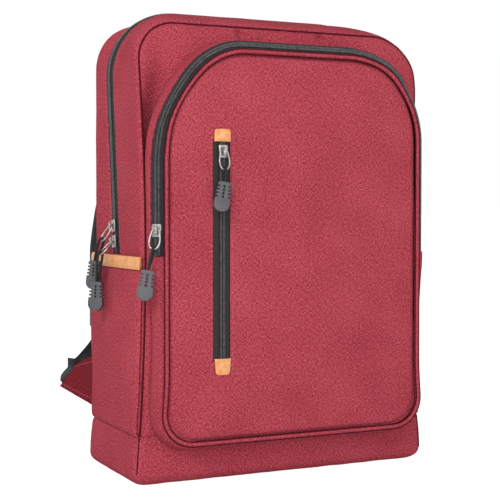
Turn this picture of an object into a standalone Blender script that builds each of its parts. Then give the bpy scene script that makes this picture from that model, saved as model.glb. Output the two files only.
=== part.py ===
"""Travel backpack: sewn cloth panels, zips with sliders and pulls, folding lid, straps and handle."""

import math

import bmesh
import bpy
from mathutils import Matrix, Vector

# Bag body, in metres: front faces -Y, the base stands on Z = 0
BAG_WIDTH = 0.296
BAG_DEPTH = 0.128
SEAM_HEIGHT = 0.430
FRONT_BULGE = 0.022
TOP_DOME = 0.015
TOP_RADIUS = 0.052
REAR_ROUND = 0.020
FRONT_CORNER = 0.008
CLOTH = 0.0024
SEAM_GAP = 0.0003
CHORD_ROOM = 0.0003

# Base boot
BASE_HEIGHT = 0.046
BASE_ROUND = 0.020

# Line where the opened front folds forward, and where both zips end
FOLD_DROP = 0.092
FOLD_CLEARANCE = 0.001
ZIP_END = 0.212

# Main zip round the side and top
MAIN_ZIP_TOP_Y = 0.012
MAIN_ZIP_LOW_Y = -0.013
ZIP_HALF = 0.0078
TAPE = 0.0012
TAPE_RECESS = 0.0004
COIL_HALF = 0.0028
COIL_PROUD = 0.0010

# Front pocket
POCKET_WIDTH = 0.291
POCKET_DROP = 0.018
POCKET_BOTTOM = 0.028
POCKET_RIM_Y = -0.105
POCKET_TOP_RADIUS = 0.092
POCKET_BASE_RADIUS = 0.044
SHOULDER_DEPTH = 0.0085
ZIP_ROOM = 0.0006
ZIP_TAPER = 0.018
ZIP_TAPER_ROOM = 0.0012
PIPING_INSET = 0.0125
PIPING_RADIUS = 0.0019
FACE_CROWN = 0.007
FACE_CLOTH = 0.003

# Quick access zip on the pocket face
QUICK_X = -0.080
QUICK_DROP = 0.022
QUICK_BOTTOM = 0.118
QUICK_HALF = 0.0088
TAB_TOP = 0.0115
TAB_BOTTOM = 0.0150
LEATHER = 0.0015
POUCH_HALF = 0.050
POUCH_CLOTH = 0.0016

# Side pockets
MOUTH_DROP = 0.0025
MOUTH_GAP = 0.0075
BINDING = 0.0100

# Zip sliders and pulls
SLIDER_WIDTH = 0.0090
SLIDER_LENGTH = 0.0115
SLIDER_PLATE = 0.0014
SLIDER_CLEARANCE = 0.0005
SLIDER_SPACING = 0.0150
PARKING = 0.0115
QUICK_PARKING = 0.0032
BRIDGE_WIDTH = 0.0030
BRIDGE_WALL = 0.0012
WIRE = 0.0016
RING_LENGTH = 0.0185
RING_WIDTH = 0.0115
CORD = 0.0024
CORD_LEG = 0.0135
GRIP_LENGTH = 0.028
GRIP_WIDTH = 0.0105
BULB_WIDTH = 0.0148
GRIP_THICK = 0.0058
NOTCH = 0.0013
NOTCH_COUNT = 4

# Back pads
BACK_PANEL = 0.006
PAD_THICK = 0.011
PAD_WIDTH = 0.096
PAD_CORNER = 0.020
PAD_SLOPE = 0.009
PAD_CHANNEL = 0.016
PAD_ABOVE_BASE = 0.008
PAD_BELOW_TOP = 0.062

# Shoulder straps, ladder locks and lower webbing
STRAP_WIDTH = 0.058
STRAP_ROOT_WIDTH = 0.042
STRAP_END_WIDTH = 0.032
STRAP_THICK = 0.011
STRAP_EDGE_THICK = 0.005
STRAP_ROOT_X = 0.059
STRAP_END_X = 0.098
STRAP_ROOT_DROP = 0.056
STRAP_END_RISE = 0.110
STRAP_BOW = 0.049
STRAP_LEAVE = 1.1
STRAP_ARRIVE = 0.75
WEBBING_WIDTH = 0.022
WEBBING = 0.0016
WEBBING_TAIL = 0.052
LOCK_WIDTH = 0.034
LOCK_THICK = 0.005
LOCK_BAR = 0.0042
LOCK_SLOT = 0.0062
SLOT_ROOM = 0.0016
WING = 0.0040
WING_REACH = 0.049
WING_TIP_RISE = 0.042
WING_TIP_HALF = 0.0147
WING_ROOT_LOW = 0.012
WING_ROOT_HIGH = 0.066
WING_SEAM_TURN = 56
WING_TIP_EDGE = (0.576, 0.068, -0.814)

# Haul handle of webbing folded double
HANDLE_FOLD = 0.008
HANDLE_THICK = 0.004
HANDLE_SPAN = 0.100
HANDLE_REACH = 0.046
HANDLE_BELOW_TOP = 0.010
HANDLE_HANG = 38

REAR_Y = BAG_DEPTH / 2
SIDE_X = BAG_WIDTH / 2
PANEL_INSET = CLOTH + SEAM_GAP
FACE_INSET = PIPING_INSET + PIPING_RADIUS + SEAM_GAP
SHOULDER_INSET = PIPING_INSET - PIPING_RADIUS - SEAM_GAP
SHOULDER_LIP = 0.001
FOLD_HEIGHT = SEAM_HEIGHT - FOLD_DROP
POCKET_TOP = SEAM_HEIGHT - POCKET_DROP
QUICK_TOP = FOLD_HEIGHT - QUICK_DROP
MOUTH_HEIGHT = ZIP_END - MOUTH_DROP
FOLD_LOW = FOLD_HEIGHT - SEAM_GAP / 2
FOLD_HIGH = FOLD_HEIGHT + SEAM_GAP / 2
PULL_AXIS = COIL_PROUD + SLIDER_CLEARANCE + SLIDER_PLATE + WIRE / 2 + SEAM_GAP

for old in list(bpy.data.objects):
    bpy.data.objects.remove(old, do_unlink=True)

parts = bpy.data.collections.new("travel_backpack")
cutters = bpy.data.collections.new("cutters")
bpy.context.scene.collection.children.link(parts)
bpy.context.scene.collection.children.link(cutters)


# Materials

def make_material(name, color, roughness, metallic=0.0):
    material = bpy.data.materials.new(name)
    material.use_nodes = True
    shader = material.node_tree.nodes["Principled BSDF"]
    shader.inputs["Base Color"].default_value = (*color, 1.0)
    shader.inputs["Roughness"].default_value = roughness
    shader.inputs["Metallic"].default_value = metallic
    return material


RED_CLOTH = make_material("red_melange_cloth", (0.40, 0.05, 0.07), 0.85)
ZIP_TAPE = make_material("black_zip_tape", (0.02, 0.02, 0.022), 0.7)
TAN_LEATHER = make_material("tan_leather", (0.42, 0.17, 0.05), 0.6)
METAL = make_material("nickel_metal", (0.6, 0.6, 0.6), 0.3, 1.0)
CORD_BLACK = make_material("black_cord", (0.015, 0.015, 0.016), 0.8)
RUBBER = make_material("grey_rubber", (0.09, 0.095, 0.10), 0.6)
MESH_BLACK = make_material("black_air_mesh", (0.02, 0.02, 0.02), 0.9)
WEB_BLACK = make_material("black_webbing", (0.018, 0.018, 0.018), 0.8)
PLASTIC = make_material("black_plastic", (0.02, 0.02, 0.02), 0.45)
LINING = make_material("black_lining", (0.03, 0.03, 0.03), 0.8)


# Mesh helpers

def add_object(name, mesh, material, origin=(0, 0, 0), collection=parts):
    mesh.transform(Matrix.Translation(-Vector(origin)))
    thing = bpy.data.objects.new(name, mesh)
    thing.location = origin
    mesh.materials.append(material)
    collection.objects.link(thing)
    return thing


def mesh_from(name, points, faces):
    mesh = bpy.data.meshes.new(name)
    mesh.from_pydata([tuple(p) for p in points], [], faces)
    mesh.validate()
    return mesh


def sheet(name, columns, thickness, material, origin=(0, 0, 0), caps=None):
    """Cloth panel: an open surface through columns of points, thickened to its inner side."""
    rows = len(columns[0])
    points = [p for column in columns for p in column]
    faces = []
    for i in range(len(columns) - 1):
        for j in range(rows - 1):
            a = i * rows + j
            faces.append((a, a + 1, a + rows + 1, a + rows))
    if caps:
        faces += caps
    mesh = mesh_from(name, points, faces)
    inner = Vector((0, 0, SEAM_HEIGHT / 2))
    facing = sum(f.normal.dot(f.center - inner) * f.area for f in mesh.polygons)
    if facing < 0:
        mesh.flip_normals()
    thing = add_object(name, mesh, material, origin)
    wall = thing.modifiers.new("cloth", "SOLIDIFY")
    wall.thickness = thickness
    wall.offset = -1.0
    wall.use_even_offset = True
    return thing


def loft(name, rings, material, origin=(0, 0, 0), collection=parts):
    """Closed solid through a row of closed sections with flat ends."""
    count = len(rings[0])
    points = [p for ring in rings for p in ring]
    faces = [tuple(range(count)), tuple(range(len(points) - 1, len(points) - count - 1, -1))]
    for i in range(len(rings) - 1):
        for j in range(count):
            a = i * count + j
            b = i * count + (j + 1) % count
            faces.append((a, b, b + count, a + count))
    mesh = mesh_from(name, points, faces)
    work = bmesh.new()
    work.from_mesh(mesh)
    bmesh.ops.recalc_face_normals(work, faces=work.faces)
    work.to_mesh(mesh)
    work.free()
    return add_object(name, mesh, material, origin, collection)


def tube(name, points, radius, material, origin=(0, 0, 0), closed=False, sides=2):
    """Round cord, wire or piping along a line of points."""
    curve = bpy.data.curves.new(name, "CURVE")
    curve.dimensions = "3D"
    spline = curve.splines.new("POLY")
    spline.points.add(len(points) - 1)
    for place, p in zip(spline.points, points):
        place.co = (*p, 1.0)
    spline.use_cyclic_u = closed
    curve.bevel_depth = radius
    curve.bevel_resolution = sides
    curve.use_fill_caps = True
    source = bpy.data.objects.new(name + "_line", curve)
    mesh = bpy.data.meshes.new_from_object(source)
    bpy.data.objects.remove(source)
    mesh.name = name
    work = bmesh.new()
    work.from_mesh(mesh)
    bmesh.ops.remove_doubles(work, verts=work.verts, dist=0.00001)
    bmesh.ops.recalc_face_normals(work, faces=work.faces)
    work.to_mesh(mesh)
    work.free()
    mesh.materials.clear()
    return add_object(name, mesh, material, origin)


def split_bent_faces(thing):
    """Gives a piece flat triangles in place of faces that are not flat."""
    work = bmesh.new()
    work.from_mesh(thing.data)
    bmesh.ops.triangulate(work, faces=work.faces)
    work.to_mesh(thing.data)
    work.free()


def cut(thing, cutter):
    """Takes the shape of a cutter out of a piece."""
    cutter.hide_render = True
    cutter.display_type = "WIRE"
    taken = thing.modifiers.new("cut", "BOOLEAN")
    taken.operation = "DIFFERENCE"
    taken.solver = "EXACT"
    taken.object = cutter


def block(name, low, high, material, collection):
    """Plain box between two corners."""
    corners = ((low[0], low[1]), (high[0], low[1]), (high[0], high[1]), (low[0], high[1]))
    rings = [[Vector((x, y, z)) for x, y in corners] for z in (low[2], high[2])]
    return loft(name, rings, material, collection=collection)


# Shape of the bag body

def bulge(z):
    return math.sin(math.pi * min(max(z / SEAM_HEIGHT, 0.0), 1.0))


def front_y(z):
    return -BAG_DEPTH / 2 - FRONT_BULGE * bulge(z)


def zip_y(z):
    share = (z - ZIP_END) / (SEAM_HEIGHT - ZIP_END)
    return MAIN_ZIP_LOW_Y + (MAIN_ZIP_TOP_Y - MAIN_ZIP_LOW_Y) * min(share, 1.0)


def rear_inset(y):
    past = min(max(0.0, y - (REAR_Y - REAR_ROUND)), REAR_ROUND)
    return REAR_ROUND - math.sqrt(REAR_ROUND**2 - past**2)


def top_z(y):
    share = min(max((y + BAG_DEPTH / 2) / BAG_DEPTH, 0.0), 1.0)
    return SEAM_HEIGHT + TOP_DOME * math.sin(math.pi * share) - rear_inset(y)


def arch(line_y, z_start, side_steps=3, arc_steps=6, top_steps=4):
    """Points and outward directions up the left side, over the top and down the right side."""
    y_top = line_y(SEAM_HEIGHT)
    inset = rear_inset(y_top)
    top = top_z(y_top)
    radius = TOP_RADIUS - inset
    half = SIDE_X - inset
    z_corner = top - radius
    left = []
    for i in range(side_steps):
        z = z_start + (z_corner - z_start) * i / side_steps
        left.append((Vector((-half, line_y(z), z)), Vector((-1, 0, 0))))
    for i in range(arc_steps + 1):
        angle = math.radians(90 * i / arc_steps)
        z = z_corner + radius * math.sin(angle)
        place = Vector((-half + radius - radius * math.cos(angle), line_y(z), z))
        left.append((place, Vector((-math.cos(angle), 0, math.sin(angle)))))
    reach = half - radius
    middle = []
    for i in range(1, top_steps):
        middle.append((Vector((-reach + 2 * reach * i / top_steps, y_top, top)), Vector((0, 0, 1))))
    right = [(Vector((-p.x, p.y, p.z)), Vector((-n.x, n.y, n.z))) for p, n in reversed(left)]
    return left + middle + right


def rounded_half(z, half, top, radius):
    """Half width at a height of an outline with rounded top corners."""
    rise = max(0.0, z - (top - radius))
    return half - radius + math.sqrt(max(radius**2 - rise**2, 0.0))


def levels(low, high, count):
    return [low + (high - low) * i / count for i in range(count + 1)]


def corner_levels(top, radius, steps):
    """Heights that step evenly round a top corner."""
    return [top - radius + radius * math.sin(math.radians(90 * i / steps)) for i in range(1, steps + 1)]


# Base boot: a tray with rounded edges

def base_ring(z, inset):
    points = []
    front = front_y(z) + inset
    rear = REAR_Y - inset
    half = SIDE_X - inset
    front_round = FRONT_CORNER
    rear_round = max(REAR_ROUND - inset, FRONT_CORNER)
    for x_sign, y_edge, y_sign, radius, start in (
        (-1, front, 1, front_round, 180),
        (1, front, 1, front_round, 270),
        (1, rear, -1, rear_round, 0),
        (-1, rear, -1, rear_round, 90),
    ):
        for i in range(4):
            angle = math.radians(start + 30 * i)
            x = x_sign * (half - radius) + radius * math.cos(angle)
            y = y_edge + y_sign * radius + radius * math.sin(angle)
            points.append(Vector((x, y, z)))
    return points


base_columns = []
for step in range(5):
    angle = math.radians(22.5 * step)
    ring = base_ring(BASE_ROUND * (1 - math.cos(angle)), BASE_ROUND * (1 - math.sin(angle)))
    base_columns.append(ring + ring[:1])
ring = base_ring(BASE_HEIGHT, 0.0)
base_columns.append(ring + ring[:1])
base = sheet("base_panel", base_columns, CLOTH, RED_CLOTH, caps=[tuple(range(len(ring)))])
work = bmesh.new()
work.from_mesh(base.data)
bmesh.ops.remove_doubles(work, verts=work.verts, dist=0.00001)
bmesh.ops.recalc_face_normals(work, faces=work.faces)
lowest = min(work.faces, key=lambda f: f.calc_center_median().z)
if lowest.normal.z > 0:
    bmesh.ops.reverse_faces(work, faces=work.faces)
work.to_mesh(base.data)
work.free()


# Side, front and back walls

def side_columns(sign, z_low, z_high, count):
    columns = []
    stations = [0.0, 0.35, 0.7, 1.0]
    for share in stations:
        column = []
        for z in levels(z_low, z_high, count):
            y = front_y(z) + share * (REAR_Y - REAR_ROUND - front_y(z))
            column.append(Vector((sign * SIDE_X, y, z)))
        columns.append(column)
    for degrees in (30, 60, 90):
        angle = math.radians(degrees)
        y = REAR_Y - REAR_ROUND + REAR_ROUND * math.sin(angle)
        x = sign * (SIDE_X - REAR_ROUND + REAR_ROUND * math.cos(angle))
        columns.append([Vector((x, y, z)) for z in levels(z_low, z_high, count)])
    return columns


WALL_LOW = BASE_HEIGHT + SEAM_GAP
for side, sign in (("left", -1), ("right", 1)):
    columns = side_columns(sign, WALL_LOW, ZIP_END - SEAM_GAP / 2, 5)
    sheet("side_panel_" + side, columns, CLOTH, RED_CLOTH)
    strip = []
    for share in levels(0.0, 1.0, 2):
        column = []
        for z in levels(ZIP_END + SEAM_GAP / 2, FOLD_LOW, 4):
            y = front_y(z) + share * (zip_y(z) - ZIP_HALF - front_y(z))
            column.append(Vector((sign * SIDE_X, y, z)))
        strip.append(column)
    sheet("front_gusset_" + side, strip, CLOTH, RED_CLOTH)


def rear_line(share):
    return lambda z: zip_y(z) + ZIP_HALF + share * (REAR_Y - REAR_ROUND - zip_y(z) - ZIP_HALF)


def rear_arc(degrees):
    return lambda z: REAR_Y - REAR_ROUND + REAR_ROUND * math.sin(math.radians(degrees))


def lid_line(share):
    return lambda z: front_y(z) + share * (zip_y(z) - ZIP_HALF - front_y(z))


rear_lines = [rear_line(0.0), rear_line(1.0), rear_arc(30), rear_arc(60), rear_arc(90)]
rear_grid = [[p for p, _ in arch(line, ZIP_END + SEAM_GAP / 2, 4)] for line in rear_lines]
sheet("rear_gusset", rear_grid, CLOTH, RED_CLOTH)


# Face of the front pocket, flat from top to bottom where the quick zip runs

def pocket_half(z, inset):
    half = POCKET_WIDTH / 2
    rise = max(0.0, z - (POCKET_TOP - POCKET_TOP_RADIUS))
    drop = max(0.0, POCKET_BOTTOM + POCKET_BASE_RADIUS - z)
    if rise > 0:
        radius = POCKET_TOP_RADIUS
        return half - radius + math.sqrt(max((radius - inset) ** 2 - rise**2, 0.0))
    if drop > 0:
        radius = POCKET_BASE_RADIUS
        return half - radius + math.sqrt(max((radius - inset) ** 2 - drop**2, 0.0))
    return half - inset


def ease(height, full):
    """Smooth rise from none to one as a height grows to its full value."""
    return math.sin(math.pi / 2 * min(1.0, max(0.0, height / full)))


def face_y(x, z):
    low = POCKET_BOTTOM + FACE_INSET
    high = POCKET_TOP - FACE_INSET
    across = 1.0 - min(1.0, abs(x) / (POCKET_WIDTH / 2 - FACE_INSET)) ** 2
    swell = ease(z - low, QUICK_BOTTOM - TAB_BOTTOM - low) * ease(high - z, high - FOLD_HEIGHT)
    return POCKET_RIM_Y - FACE_CROWN * across * swell


FOLD_AXIS = Vector((0, face_y(0, FOLD_HEIGHT) - FOLD_CLEARANCE, FOLD_HEIGHT))

# Folding lid: the part of the front gusset and front panel above the fold
lid_grid = [[p for p, _ in arch(lid_line(share), FOLD_HIGH, 2)] for share in (0.0, 0.5, 1.0)]
sheet("lid_gusset", lid_grid, CLOTH, RED_CLOTH, FOLD_AXIS)


def front_column(z, count):
    half = rounded_half(z, SIDE_X, SEAM_HEIGHT, TOP_RADIUS) - PANEL_INSET
    return [Vector((-half + 2 * half * i / count, front_y(z), z)) for i in range(count + 1)]


front_levels = levels(WALL_LOW, FOLD_LOW, 10)
sheet("front_panel", [front_column(z, 4) for z in front_levels], CLOTH, RED_CLOTH)

lid_radius = TOP_RADIUS - PANEL_INSET
corner = [SEAM_HEIGHT - TOP_RADIUS] + corner_levels(SEAM_HEIGHT - PANEL_INSET, lid_radius, 5)
lid_levels = [FOLD_HIGH] + [z for z in corner if z > FOLD_HIGH + CLOTH]
lid_columns = []
for z in lid_levels:
    half = rounded_half(z, SIDE_X - PANEL_INSET, SEAM_HEIGHT - PANEL_INSET, lid_radius)
    lid_columns.append([Vector((-half + 2 * half * i / 4, front_y(z), z)) for i in range(5)])
sheet("lid_panel", lid_columns, CLOTH, RED_CLOTH, FOLD_AXIS)

BACK_INSET = SEAM_GAP + CLOTH * 0.4
back_half = SIDE_X - REAR_ROUND - BACK_INSET
back_top = SEAM_HEIGHT - REAR_ROUND - BACK_INSET
back_radius = TOP_RADIUS - REAR_ROUND - BACK_INSET
back_levels = levels(WALL_LOW, back_top - back_radius, 2) + corner_levels(back_top, back_radius, 4)
back_columns = []
for z in back_levels:
    half = rounded_half(z, back_half, back_top, back_radius)
    back_columns.append([Vector((-half + 2 * half * i / 2, REAR_Y, z)) for i in range(3)])
sheet("back_panel", back_columns, BACK_PANEL, MESH_BLACK)


# Main zip: rear half of the tape on the bag, front half on the gussets and on the lid

def tape_section(sign):
    """Across and outward places of half a zip tape with its coil."""
    edge = SEAM_GAP / 2
    return [
        (sign * edge, -TAPE_RECESS - TAPE),
        (sign * (ZIP_HALF - SEAM_GAP), -TAPE_RECESS - TAPE),
        (sign * (ZIP_HALF - SEAM_GAP), -TAPE_RECESS),
        (sign * COIL_HALF, -TAPE_RECESS),
        (sign * COIL_HALF, COIL_PROUD),
        (sign * edge, COIL_PROUD),
    ]


def main_tape(stations, sign):
    return [[p + Vector((0, a, 0)) + n * out for a, out in tape_section(sign)] for p, n in stations]


main_arch = arch(zip_y, ZIP_END + SEAM_GAP / 2, 3)
loft("main_zip_rear", main_tape(main_arch, 1), ZIP_TAPE)
loft("main_zip_lid", main_tape(arch(zip_y, FOLD_HIGH, 1), -1), ZIP_TAPE, FOLD_AXIS)
for side, sign in (("left", -1), ("right", 1)):
    run = [
        (Vector((sign * SIDE_X, zip_y(z), z)), Vector((sign, 0, 0)))
        for z in (ZIP_END + SEAM_GAP / 2, FOLD_LOW)
    ]
    loft("main_zip_front_" + side, main_tape(run, -1), ZIP_TAPE)


# Front pocket: gusset, zip on the shoulder, piping and face
RUN_STEPS = 3
RUN_PLACES = RUN_STEPS + 3
SHOULDER = Vector((SHOULDER_INSET - SHOULDER_LIP, SHOULDER_DEPTH - SHOULDER_LIP))
SHOULDER_HALF = SHOULDER.length / 2
ALONG = SHOULDER.normalized()


def pocket_line(inset, upper, arc_steps=6):
    """Places (x, z) along the pocket outline on one side of the fold, from left to right."""
    half = POCKET_WIDTH / 2
    radius = POCKET_TOP_RADIUS - inset
    center_z = POCKET_TOP - POCKET_TOP_RADIUS
    center_x = half - POCKET_TOP_RADIUS
    cut_z = FOLD_HIGH if upper else FOLD_LOW
    start = math.asin(min(max((cut_z - center_z) / radius, -1.0), 1.0))
    left = []
    if upper:
        for i in range(arc_steps + 1):
            angle = start + (math.pi / 2 - start) * i / arc_steps
            left.append((-center_x - radius * math.cos(angle), center_z + radius * math.sin(angle)))
        middle = [(0.0, POCKET_TOP - inset)]
    else:
        for i in range(3):
            angle = start * (1 - i / 2)
            left.append((-center_x - radius * math.cos(angle), center_z + radius * math.sin(angle)))
        low_radius = POCKET_BASE_RADIUS - inset
        low_z = POCKET_BOTTOM + POCKET_BASE_RADIUS
        low_x = half - POCKET_BASE_RADIUS
        for z in levels(center_z, ZIP_END + SEAM_GAP, RUN_STEPS)[1:]:
            left.append((-half + inset, z))
        for z in levels(ZIP_END - SEAM_GAP, low_z, RUN_STEPS)[:-1]:
            left.append((-half + inset, z))
        for i in range(6):
            angle = math.radians(18 * i)
            left.append((-low_x - low_radius * math.cos(angle), low_z - low_radius * math.sin(angle)))
        middle = [(0.0, POCKET_BOTTOM + inset)]
    return left + middle + [(-x, z) for x, z in reversed(left)]


def pocket_rings(profile, upper):
    """Sections of a piece that follows the pocket outline; a profile gives (inset, y) places."""
    rough = [pocket_line(inset, upper) for inset, _ in profile(ZIP_END / 2)]
    rings = []
    for i in range(len(rough[0])):
        ring = []
        for k, line in enumerate(rough):
            inset, y = profile(line[i][1])[k]
            x, z = pocket_line(inset, upper)[i]
            ring.append(Vector((x, y, z)))
        rings.append(ring)
    return rings


def gusset_profile(upper):
    def profile(z):
        foot = front_y(z) - SEAM_GAP - CHORD_ROOM
        lip_y = POCKET_RIM_Y + SHOULDER_DEPTH
        if upper or z > ZIP_END:
            edge_y = lip_y + SEAM_GAP + (TAPE_RECESS + TAPE) * ALONG.x
            outer = [(0.0, foot), (SHOULDER_LIP / 2, (foot + edge_y) / 2), (SHOULDER_LIP, edge_y)]
        else:
            end_y = POCKET_RIM_Y + SHOULDER_LIP
            outer = [(0.0, foot), (SHOULDER_LIP, lip_y), (SHOULDER_INSET, end_y)]
            turn = (SHOULDER_LIP + CLOTH, lip_y + CLOTH / 2)
            return outer + [(SHOULDER_INSET, end_y + CLOTH), turn, (CLOTH, foot)]
        return outer + [(inset + CLOTH, y) for inset, y in reversed(outer)]

    return profile


loft("pocket_gusset", pocket_rings(gusset_profile(False), False), RED_CLOTH)
loft("lid_pocket_gusset", pocket_rings(gusset_profile(True), True), RED_CLOTH, FOLD_AXIS)


def shoulder_place(across, out):
    """Inset and y of a place on the slanted shoulder, from its middle line."""
    inset = (SHOULDER_LIP + SHOULDER_INSET) / 2 + across * ALONG.x - out * ALONG.y
    y = POCKET_RIM_Y + (SHOULDER_DEPTH + SHOULDER_LIP) / 2 - across * ALONG.y - out * ALONG.x
    return inset, y


def shoulder_tape(low, high, coil_low, coil_high):
    places = [
        shoulder_place(low, -TAPE_RECESS - TAPE),
        shoulder_place(high, -TAPE_RECESS - TAPE),
    ]
    if coil_high == high:
        places += [
            shoulder_place(high, COIL_PROUD),
            shoulder_place(coil_low, COIL_PROUD),
            shoulder_place(coil_low, -TAPE_RECESS),
            shoulder_place(low, -TAPE_RECESS),
        ]
    else:
        places += [
            shoulder_place(high, -TAPE_RECESS),
            shoulder_place(coil_high, -TAPE_RECESS),
            shoulder_place(coil_high, COIL_PROUD),
            shoulder_place(low, COIL_PROUD),
        ]
    return lambda z: places


edge = ZIP_ROOM / 2
reach = SHOULDER_HALF - 2 * SEAM_GAP
rear_half = shoulder_tape(-reach, -edge, -COIL_HALF, -edge)


def front_half(z):
    """Half tape of the flap, cut back near the fold so that it turns past the other half."""
    near = max(0.0, 1.0 - (z - FOLD_HEIGHT) / ZIP_TAPER)
    low = edge + ZIP_TAPER_ROOM * near
    return shoulder_tape(low, reach, low, COIL_HALF)(z)


loft("pocket_zip_rear", pocket_rings(rear_half, True), ZIP_TAPE, FOLD_AXIS)
loft("pocket_zip_front", pocket_rings(front_half, True), ZIP_TAPE, FOLD_AXIS)


def closed_section():
    return [
        shoulder_place(-reach, -TAPE_RECESS - TAPE),
        shoulder_place(reach, -TAPE_RECESS - TAPE),
        shoulder_place(reach, -TAPE_RECESS),
        shoulder_place(COIL_HALF, -TAPE_RECESS),
        shoulder_place(COIL_HALF, COIL_PROUD),
        shoulder_place(-COIL_HALF, COIL_PROUD),
        shoulder_place(-COIL_HALF, -TAPE_RECESS),
        shoulder_place(-reach, -TAPE_RECESS),
    ]


lower_runs = pocket_rings(lambda z: closed_section(), False)
loft("pocket_zip_left", lower_runs[:RUN_PLACES], ZIP_TAPE)
loft("pocket_zip_right", lower_runs[-RUN_PLACES:], ZIP_TAPE)

for name, upper, origin in (("pocket_piping", False, (0, 0, 0)), ("flap_piping", True, FOLD_AXIS)):
    line = [Vector((x, POCKET_RIM_Y, z)) for x, z in pocket_line(PIPING_INSET, upper)]
    if not upper:
        line = [p for i, p in enumerate(line) if i not in (RUN_PLACES, len(line) - 1 - RUN_PLACES)]
    tube(name, line, PIPING_RADIUS, RED_CLOTH, origin, sides=1)


def face_columns(heights, count):
    columns = []
    for z in heights:
        half = pocket_half(z, FACE_INSET)
        columns.append([
            Vector((-half + 2 * half * i / count, face_y(-half + 2 * half * i / count, z), z))
            for i in range(count + 1)
        ])
    return columns


low_radius = POCKET_BASE_RADIUS - FACE_INSET
low_center = POCKET_BOTTOM + POCKET_BASE_RADIUS
face_low = [low_center - low_radius * math.cos(math.radians(90 * i / 5)) for i in range(6)]
face_mid = [QUICK_BOTTOM - TAB_BOTTOM, POCKET_TOP - POCKET_TOP_RADIUS, FOLD_LOW]
panel = sheet("pocket_panel", face_columns(face_low + face_mid, 8), FACE_CLOTH, RED_CLOTH)
window_y = POCKET_RIM_Y - FACE_CROWN
window = block(
    "quick_window",
    (QUICK_X - QUICK_HALF, window_y - CLOTH, QUICK_BOTTOM),
    (QUICK_X + QUICK_HALF, POCKET_RIM_Y + 2 * FACE_CLOTH, QUICK_TOP),
    RED_CLOTH,
    cutters,
)
cut(panel, window)

top_radius = POCKET_TOP_RADIUS - FACE_INSET
top_center = POCKET_TOP - POCKET_TOP_RADIUS
first = math.asin((FOLD_HIGH - top_center) / top_radius)
flap_levels = [
    top_center + top_radius * math.sin(first + (math.pi / 2 - first) * i / 6) for i in range(7)
]
sheet("flap_panel", face_columns(flap_levels, 6), FACE_CLOTH, RED_CLOTH, FOLD_AXIS)


# Quick access zip with its leather ends and the pouch behind it
quick_y = face_y(QUICK_X, (QUICK_TOP + QUICK_BOTTOM) / 2)
quick_reach = QUICK_HALF - SEAM_GAP
quick_rings = []
for z in (QUICK_BOTTOM + SEAM_GAP, QUICK_TOP - SEAM_GAP):
    places = [
        (-quick_reach, TAPE_RECESS + TAPE),
        (-quick_reach, TAPE_RECESS),
        (-COIL_HALF, TAPE_RECESS),
        (-COIL_HALF, -COIL_PROUD),
        (COIL_HALF, -COIL_PROUD),
        (COIL_HALF, TAPE_RECESS),
        (quick_reach, TAPE_RECESS),
        (quick_reach, TAPE_RECESS + TAPE),
    ]
    quick_rings.append([Vector((QUICK_X + x, quick_y + y, z)) for x, y in places])
loft("quick_zip", quick_rings, ZIP_TAPE)


def tab(name, z_zip, z_far):
    """Stitched leather end of the quick zip, with a rounded outer edge."""
    outline = [(-QUICK_HALF, z_zip), (QUICK_HALF, z_zip)]
    round_z = (z_far - z_zip) * 0.45
    for i in range(7):
        angle = math.radians(30 * i)
        outline.append((QUICK_HALF * math.cos(angle), z_far - round_z + round_z * math.sin(angle)))
    rings = []
    for lift in (SEAM_GAP, SEAM_GAP + LEATHER):
        ring = []
        for x, z in outline:
            ring.append(Vector((QUICK_X + x, face_y(QUICK_X + x, z) - lift, z)))
        rings.append(ring)
    loft(name, rings, TAN_LEATHER)


tab("quick_tab_top", QUICK_TOP, QUICK_TOP + TAB_TOP)
tab("quick_tab_bottom", QUICK_BOTTOM, QUICK_BOTTOM - TAB_BOTTOM)

pouch_rings = []
for z in (QUICK_BOTTOM - TAB_BOTTOM, QUICK_TOP + TAB_TOP / 2):
    ring = []
    for x in levels(QUICK_X - POUCH_HALF, QUICK_X + 2 * POUCH_HALF, 4):
        ring.append(Vector((x, face_y(x, z) + FACE_CLOTH + 2 * SEAM_GAP, z)))
    ring += [p + Vector((0, POUCH_CLOTH, 0)) for p in reversed(ring)]
    pouch_rings.append(ring)
loft("quick_pouch", pouch_rings, LINING)


# Side pockets with leather binding round the mouth

FLAT_STEPS = 6
TURN_STEPS = 3


def pocket_side_place(sign, step, z, lift):
    """A place on the outside of a side pocket; steps run from the front seam round the rear edge."""
    front = front_y(z) + PANEL_INSET
    flat = REAR_Y - REAR_ROUND - front
    turn = math.radians(60) * REAR_ROUND
    run = flat * min(step / FLAT_STEPS, 1.0) + turn * max(step - FLAT_STEPS, 0) / TURN_STEPS
    share = run / (flat + turn)
    full = (MOUTH_HEIGHT - WALL_LOW) / 1.6
    swell = math.sqrt(max(math.sin(math.pi * share), 0.0)) * ease(z - WALL_LOW, full)
    out = SEAM_GAP + CLOTH / 2 + MOUTH_GAP * swell + lift
    if run <= flat:
        return Vector((sign * (SIDE_X + out), front + run, z))
    angle = (run - flat) / REAR_ROUND
    radius = REAR_ROUND + out
    x = SIDE_X - REAR_ROUND + radius * math.cos(angle)
    return Vector((sign * x, REAR_Y - REAR_ROUND + radius * math.sin(angle), z))


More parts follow.
